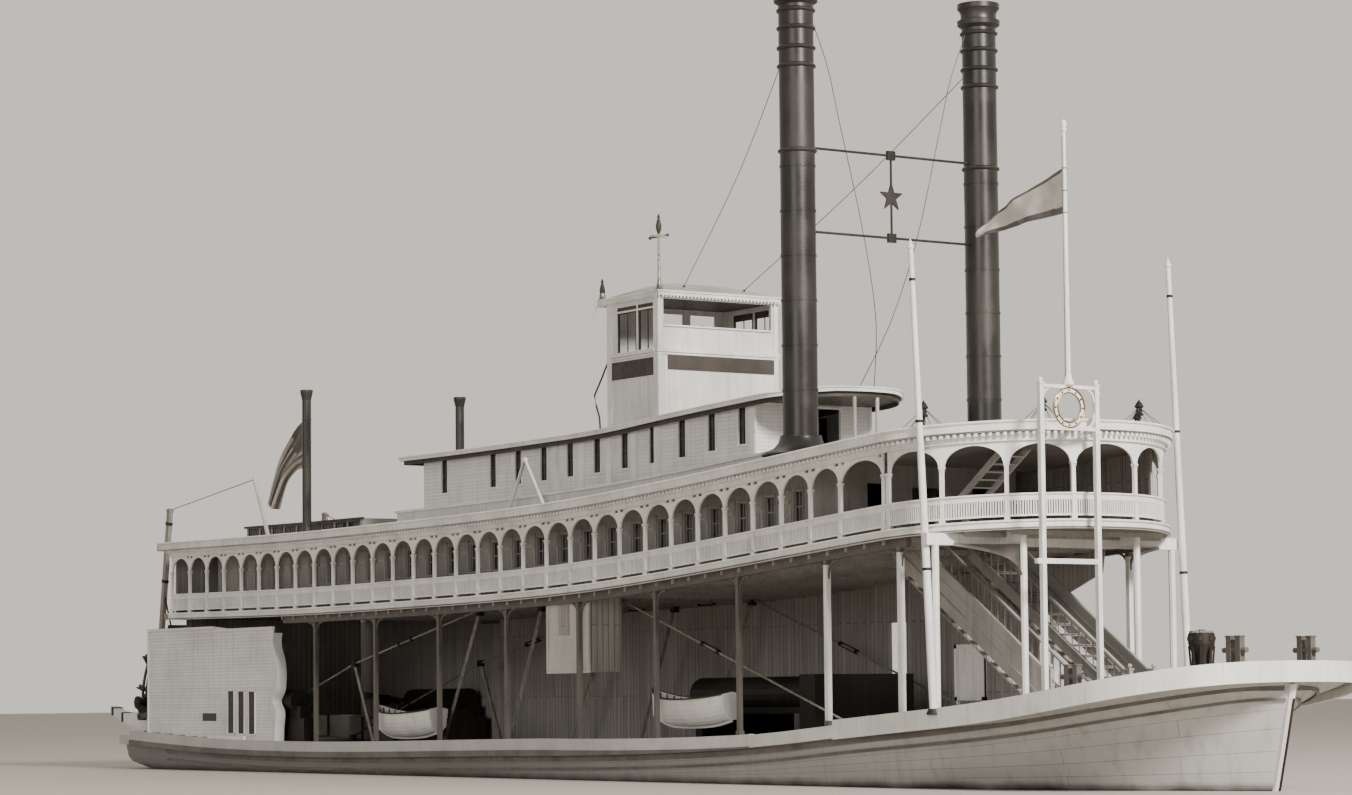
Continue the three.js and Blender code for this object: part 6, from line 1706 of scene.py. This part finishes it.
# Stern
def stern_works():
    """Louvred slits, a dark foot strip of painted shade, foot timber and bright scroll-cut fore edge of the engine
    rooms; dark lining to port as painted shade
    """
    louvres, frames, foot_shade, lining = (Shape() for _ in range(4))
    face = abs(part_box("engine_room_side_starboard")[0].y) + 0.0003
    scroll = [(-0.003, -0.004), (0.060, -0.002), (0.130, 0.006), (0.170, -0.022), (0.215, 0.012), (0.300, 0.016),
              (0.380, -0.020), (0.425, -0.014)]  # rise and reach ahead
    for name, side in SIDES:

        def flat(shape, x0, x1, low, high, proud):
            shape.block((x0, side * face, low), (x1, side * (face + proud), high))

        for x in (-2.143, -2.058, -1.970):
            low, high = deck(x) + 0.046, deck(x) + 0.206
            flat(louvres, x - 0.024, x + 0.024, low, high, 0.0012)
            for z in steps(low, high, 16)[1:-1]:
                flat(louvres, x - 0.022, x + 0.022, z - 0.001, z + 0.001, 0.003)
            for edge in (x - 0.028, x + 0.024):
                flat(frames, edge, edge + 0.004, low - 0.004, high + 0.004, 0.004)
            for z in (low - 0.004, high):
                flat(frames, x - 0.028, x + 0.028, z, z + 0.004, 0.005)
        low = deck(-2.33)
        flat(louvres, -2.388, -2.272, low + 0.088, low + 0.118, 0.001)
        flat(frames, -2.392, -2.268, low + 0.118, low + 0.122, 0.004)
        for x0, x1 in pairs(steps(-2.87, -2.33, 5)):
            low = deck((x0 + x1) / 2)
            flat(foot_shade, x0, x1, low + 0.0004, low + 0.024, 0.003)
        flat(frames, -2.325, -2.020, deck(-2.17) + 0.003, deck(-2.17) + 0.034, 0.012)
        flat(frames, -2.876, -2.868, deck(-2.87), 0.672, 0.004)
        for x0, x1 in pairs(steps(-2.878, -1.80, 9)):
            cornice = 0.664 if x0 > -2.3 else 0.676
            flat(frames, x0, x1, cornice - 0.010, cornice - 0.002, 0.005)
        rings = []
        for t in steps(0, len(scroll) - 1, 42):
            rise, out = curve_between(scroll, t)
            x, z = -1.783 + out, deck(-1.783) + rise
            y, inboard = side * (face + 0.002), side * (face - (0.036 if side < 0 else 0.010))
            rings.append([(x - 0.004, y, z), (x + 0.005, y, z), (x + 0.005, inboard, z), (x - 0.004, inboard, z)])
        piece(f"scroll_edge_{name}", Shape().loft(rings), "white", angle=30)
    for y, x0, x1, count, gap in ((0.427, -2.872, -1.562, 16, 0.0006), (0.392, 1.243, 1.62, 5, 0.0145)):
        lining.loft([upright_box(x, y, y + 0.005, deck(x) + 0.0006, upper(x) - gap) for x in steps(x0, x1, count)])
    lining.plate([(1.62, deck(1.62) + 0.32), (1.64, 0.640), (1.92, 0.742), (1.93, upper(1.93) - 0.014),
                  (1.62, upper(1.62) - 0.014)], 0.005, (0, 0.3945, 0))
    piece("port_boarding", lining, "boarding", angle=0)
    piece("slit_louvres", louvres, "dark", angle=0)
    piece("engine_room_trim", frames, "white", angle=0)
    piece("engine_room_plinth", foot_shade, "dark", angle=0)


def after_screen():
    """The boarded and glazed screen across the after end of the boiler deck, its boards and frame darkened as painted
    shade
    """
    x, foot = -2.648, upper(-2.648)
    top = foot + ARCADE_TOP + 0.001
    screen = Shape().block((x - 0.004, -0.430, foot + UPPER_THICK + 0.0005), (x, 0.430, top))
    bars = Shape()
    for y in steps(-0.43, 0.43, 8):
        bars.block((x - 0.007, max(y - 0.006, -0.436), foot + UPPER_THICK + 0.001),
                   (x + 0.003, min(y + 0.006, 0.436), top - 0.001))
    for z in (foot + 0.100, foot + 0.225):
        bars.block((x - 0.006, -0.430, z), (x + 0.002, 0.430, z + 0.008))
    piece("after_screen", screen, "saloon_wall", angle=0)
    piece("after_screen_frame", bars, "ceiling", angle=0)
    sites = [((x - 0.004, y, foot + 0.118), 90.0, 1.0) for y in steps(-0.376, 0.376, 7)[1:-1]]
    windows("after_screen_{}", sites, 0.050, 0.090, ("white", "ceiling", "glass"), (), (2, 2, -0.002), -0.0008)


# Roof furniture
def roof_works():
    """Skylight lights and cap, poles and lamps on the hurricane deck"""
    aft, front = -2.413, -1.480
    panes = [((x, side * 0.245, roof(x) + 0.010), FACING[side], 1.0)
             for side in (-1, 1) for x in steps(aft + 0.06, front - 0.06, 8)]
    copies("skylight_casings", casing(0.074, 0.034, 0.004, 0.003), panes, "dark")
    copies("skylight_sashes", sash(0.074, 0.034, 4, 1, 0.0, 0.0022),
           [((x, y * 1.004, z), turn, size) for (x, y, z), turn, size in panes], "dark")
    copies("skylight_panes", Shape().block((-0.036, -0.0005, 0.001), (0.036, 0.0008, 0.033)), panes, "glass")
    cap, poles, lamps, glass = (Shape() for _ in range(4))
    for side in (-1, 1):
        cap.bent([(x, side * 0.247, ROOF.top(min(max(x, -2.41), -1.483), 0.1) - 0.001)
                  for x in steps(aft - 0.008, front + 0.008, 8)], 0.014, 0.008)
    piece("skylight_cap", cap, "dark", angle=30)
    for foot_x, y, head_x, head_z, radius in ((-2.120, -0.300, -2.243, 1.247, 0.0078),
                                              (-0.290, -0.335, -0.180, 1.188, 0.0058),
                                              (-0.050, -0.335, -0.180, 1.188, 0.0058)):
        a, b = Vector((foot_x, y, roof(foot_x) + 0.0005)), Vector((head_x, y, head_z + 0.004))
        poles.rod(a, b, radius, 12, radius * 0.9)
        poles.turned((foot_x, y, roof(foot_x)), [(0.014, 0), (0.014, 0.005), (0.009, 0.012)], 14)
        poles.turned(b, [(radius, -0.012), (radius + 0.003, -0.010), (radius + 0.003, -0.002), (0.001, 0.006)], 12,
                     (b - a).normalized())
    piece("roof_poles", poles, "white")
    for x, y in ((2.296, -0.145), (2.296, 0.215), (2.08, -0.40), (2.08, 0.40)):
        foot = Vector((x, y, roof(x) - 0.001))
        lamps.rod(foot, foot + UP * 0.035, 0.003)
        lamps.turned(foot, [(0.012, 0.035), (0.013, 0.039), (0.010, 0.043)], 14)
        lamps.turned(foot, [(0.012, 0.058), (0.014, 0.061), (0.008, 0.072), (0.004, 0.076), (0.001, 0.082)], 14)
        glass.turned(foot, [(0.008, 0.042), (0.0098, 0.050), (0.008, 0.059)], 14)
        for a in [TURN * i / 7 + 0.3 for i in range(7)]:
            lamps.rod(foot + UP * 0.060, foot + Vector((0.085 * cos(a), 0.05 * sin(a), 0.001)), 0.0009, 5)
    piece("roof_lamps", lamps, "cast")
    piece("lamp_glasses", glass, "glass")


# Rigging
def rigging():
    """Chimney guys with their eyes and collars, and a rope from the head of either stern post, all taut"""
    wires, eyes = Shape(), Shape()
    for side in (-1, 1):
        for run in (((1.426, 0.303, 2.442), (1.426, 0.238, 2.288), (1.424, 0.193, 2.120), (1.420, 0.105, 1.790),
                     (1.380, 0.030, 1.531), (1.290, -0.028, texas_roof(1.28) + 0.001)),
                    ((1.374, 0.353, 2.330), (0.95, 0.235, 2.020), (0.470, 0.120, 1.722))):
            run = [(x, side * y, z) for x, y, z in run]
            wires.tube([curve_between(run, t) for t in steps(0, len(run) - 1, 16)], 0.0012, 6)
            eyes.ball(run[-1], 0.004, 8)
        eyes.tube([(STACK_X + u, side * STACK_Y + v, 2.442) for u, v in circle(0.0565, 32)], 0.0026, 6, joined=True)
    head_x, head_z = STERN_POST[1]
    for y, end in ((-TIMBER_Y, (-2.243, -0.300, 1.243)), (TIMBER_Y, (-2.413, 0.245, roof(-2.413) + 0.050))):
        wires.tube([(head_x, y, head_z + 0.004), end], 0.0016, 6)
    piece("guys_and_stays", wires, "wire")
    piece("guy_eyes", eyes, "cast")


# Flags
def cloth(name, node, finish, top_edge, bottom_edge, wave, flat, stripes):
    """A flag as a rippled sheet between its two long edges, given hoist first as (x, z) points; wave(u, v) is its
    ripple sideways and flat the size that it was cut to"""
    low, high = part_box(node)
    points, tints = [], []
    for i in range(FLAG_LONG + 1):
        u = i / FLAG_LONG
        a, b = (Vector(curve_between(edge, u * (len(edge) - 1))) for edge in (top_edge, bottom_edge))
        for j in range(FLAG_HIGH + 1):
            v = j / FLAG_HIGH
            spot = b.lerp(a, v)
            points.append((spot.x, (low.y + high.y) / 2 + wave(u, v), spot.y))
            tints.append(stripes(u, v))
    row = FLAG_HIGH + 1
    starts = [i * row + j for i in range(FLAG_LONG) for j in range(FLAG_HIGH)]
    mesh = bpy.data.meshes.new(name)
    mesh.from_pydata(points, [], [(k, k + row, k + row + 1, k + 1) for k in starts])
    laid = mesh.uv_layers.new(name="cloth")
    for loop in mesh.loops:
        i, j = divmod(loop.vertex_index, row)
        laid.data[loop.index].uv = (i / FLAG_LONG * flat[1], j / FLAG_HIGH * flat[0])
    border = mesh.attributes.new("border", "FLOAT", "POINT")
    border.data.foreach_set("value", tints)
    made = piece(name, mesh, finish, angle=80)
    thick = made.modifiers.new("cloth", "SOLIDIFY")
    thick.thickness = 0.0007
    thick.offset = 0
    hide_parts(node)


def flags():
    """The long pennant on the jackstaff, blown aft, and the ensign that droops abaft the steam pipe"""
    cloth("jackstaff_pennant", "pennant", "pennant",
          [(2.4441, 1.842), (2.340, 1.815), (2.230, 1.782), (2.140, 1.752), (2.066, 1.700)],
          [(2.4434, 1.716), (2.350, 1.712), (2.248, 1.706), (2.150, 1.698), (2.066, 1.688)],
          lambda u, v: 0.011 * u**0.6 * sin(13 * u - 1.4 * v) + 0.004 * u * sin(29 * u + 3 * v),
          (0.128, 0.41), lambda u, v: 1.0 if v < 0.16 + 0.06 * u or v > 0.93 - 0.05 * u else 0.0)
    cloth("stern_ensign", "ensign", "ensign",
          [(-1.7646, 1.440), (-1.820, 1.412), (-1.871, 1.372), (-1.946, 1.301), (-1.995, 1.215), (-2.031, 1.134)],
          [(-1.7646, 1.262), (-1.800, 1.256), (-1.835, 1.252), (-1.915, 1.215), (-1.965, 1.160), (-1.999, 1.113)],
          lambda u, v: (0.004 + 0.015 * u**1.3) * sin(TURN * 2.6 * v + 1.2 * u) * min(1, 6 * u),
          (0.180, 0.42), lambda u, v: 1.0 if int(v * 13) % 2 or (u < 0.36 and v > 0.46) else 0.0)
    lines = Shape()
    # halyards, and the grommets that hold the flags to their staffs
    lines.tube([(2.4545, -0.1935, z) for z in steps(1.26, 1.93, 4)], 0.0008, 6)
    lines.tube([(-1.7655, -0.333, z) for z in steps(1.18, 1.50, 4)], 0.0009, 6)
    for x, y, radius, count, thick, heights in ((-1.747, -0.333, 0.0186, 20, 0.0011, (1.440, 1.351, 1.264)),
                                                (2.450, -0.182, 0.0072, 14, 0.001, (1.842, 1.779, 1.717))):
        for z in heights:
            lines.tube([(x + u, y + v, z) for u, v in circle(radius, count)], thick, 6, joined=True)
    piece("flag_halyards", lines, "rope")


camera()
studio()
dress()
hull()
side_strakes()
deck_edge()
paddle_wheel()
wheel_beams()
arcade()
edge_mouldings()
deck_beams()
gallery()
saloon()
texas()
pilothouse()
chimneys()
stairs()
spars()
front_works()
foredeck_gear()
yawls()
freight_deck()
stern_works()
after_screen()
roof_works()
rigging()
flags()
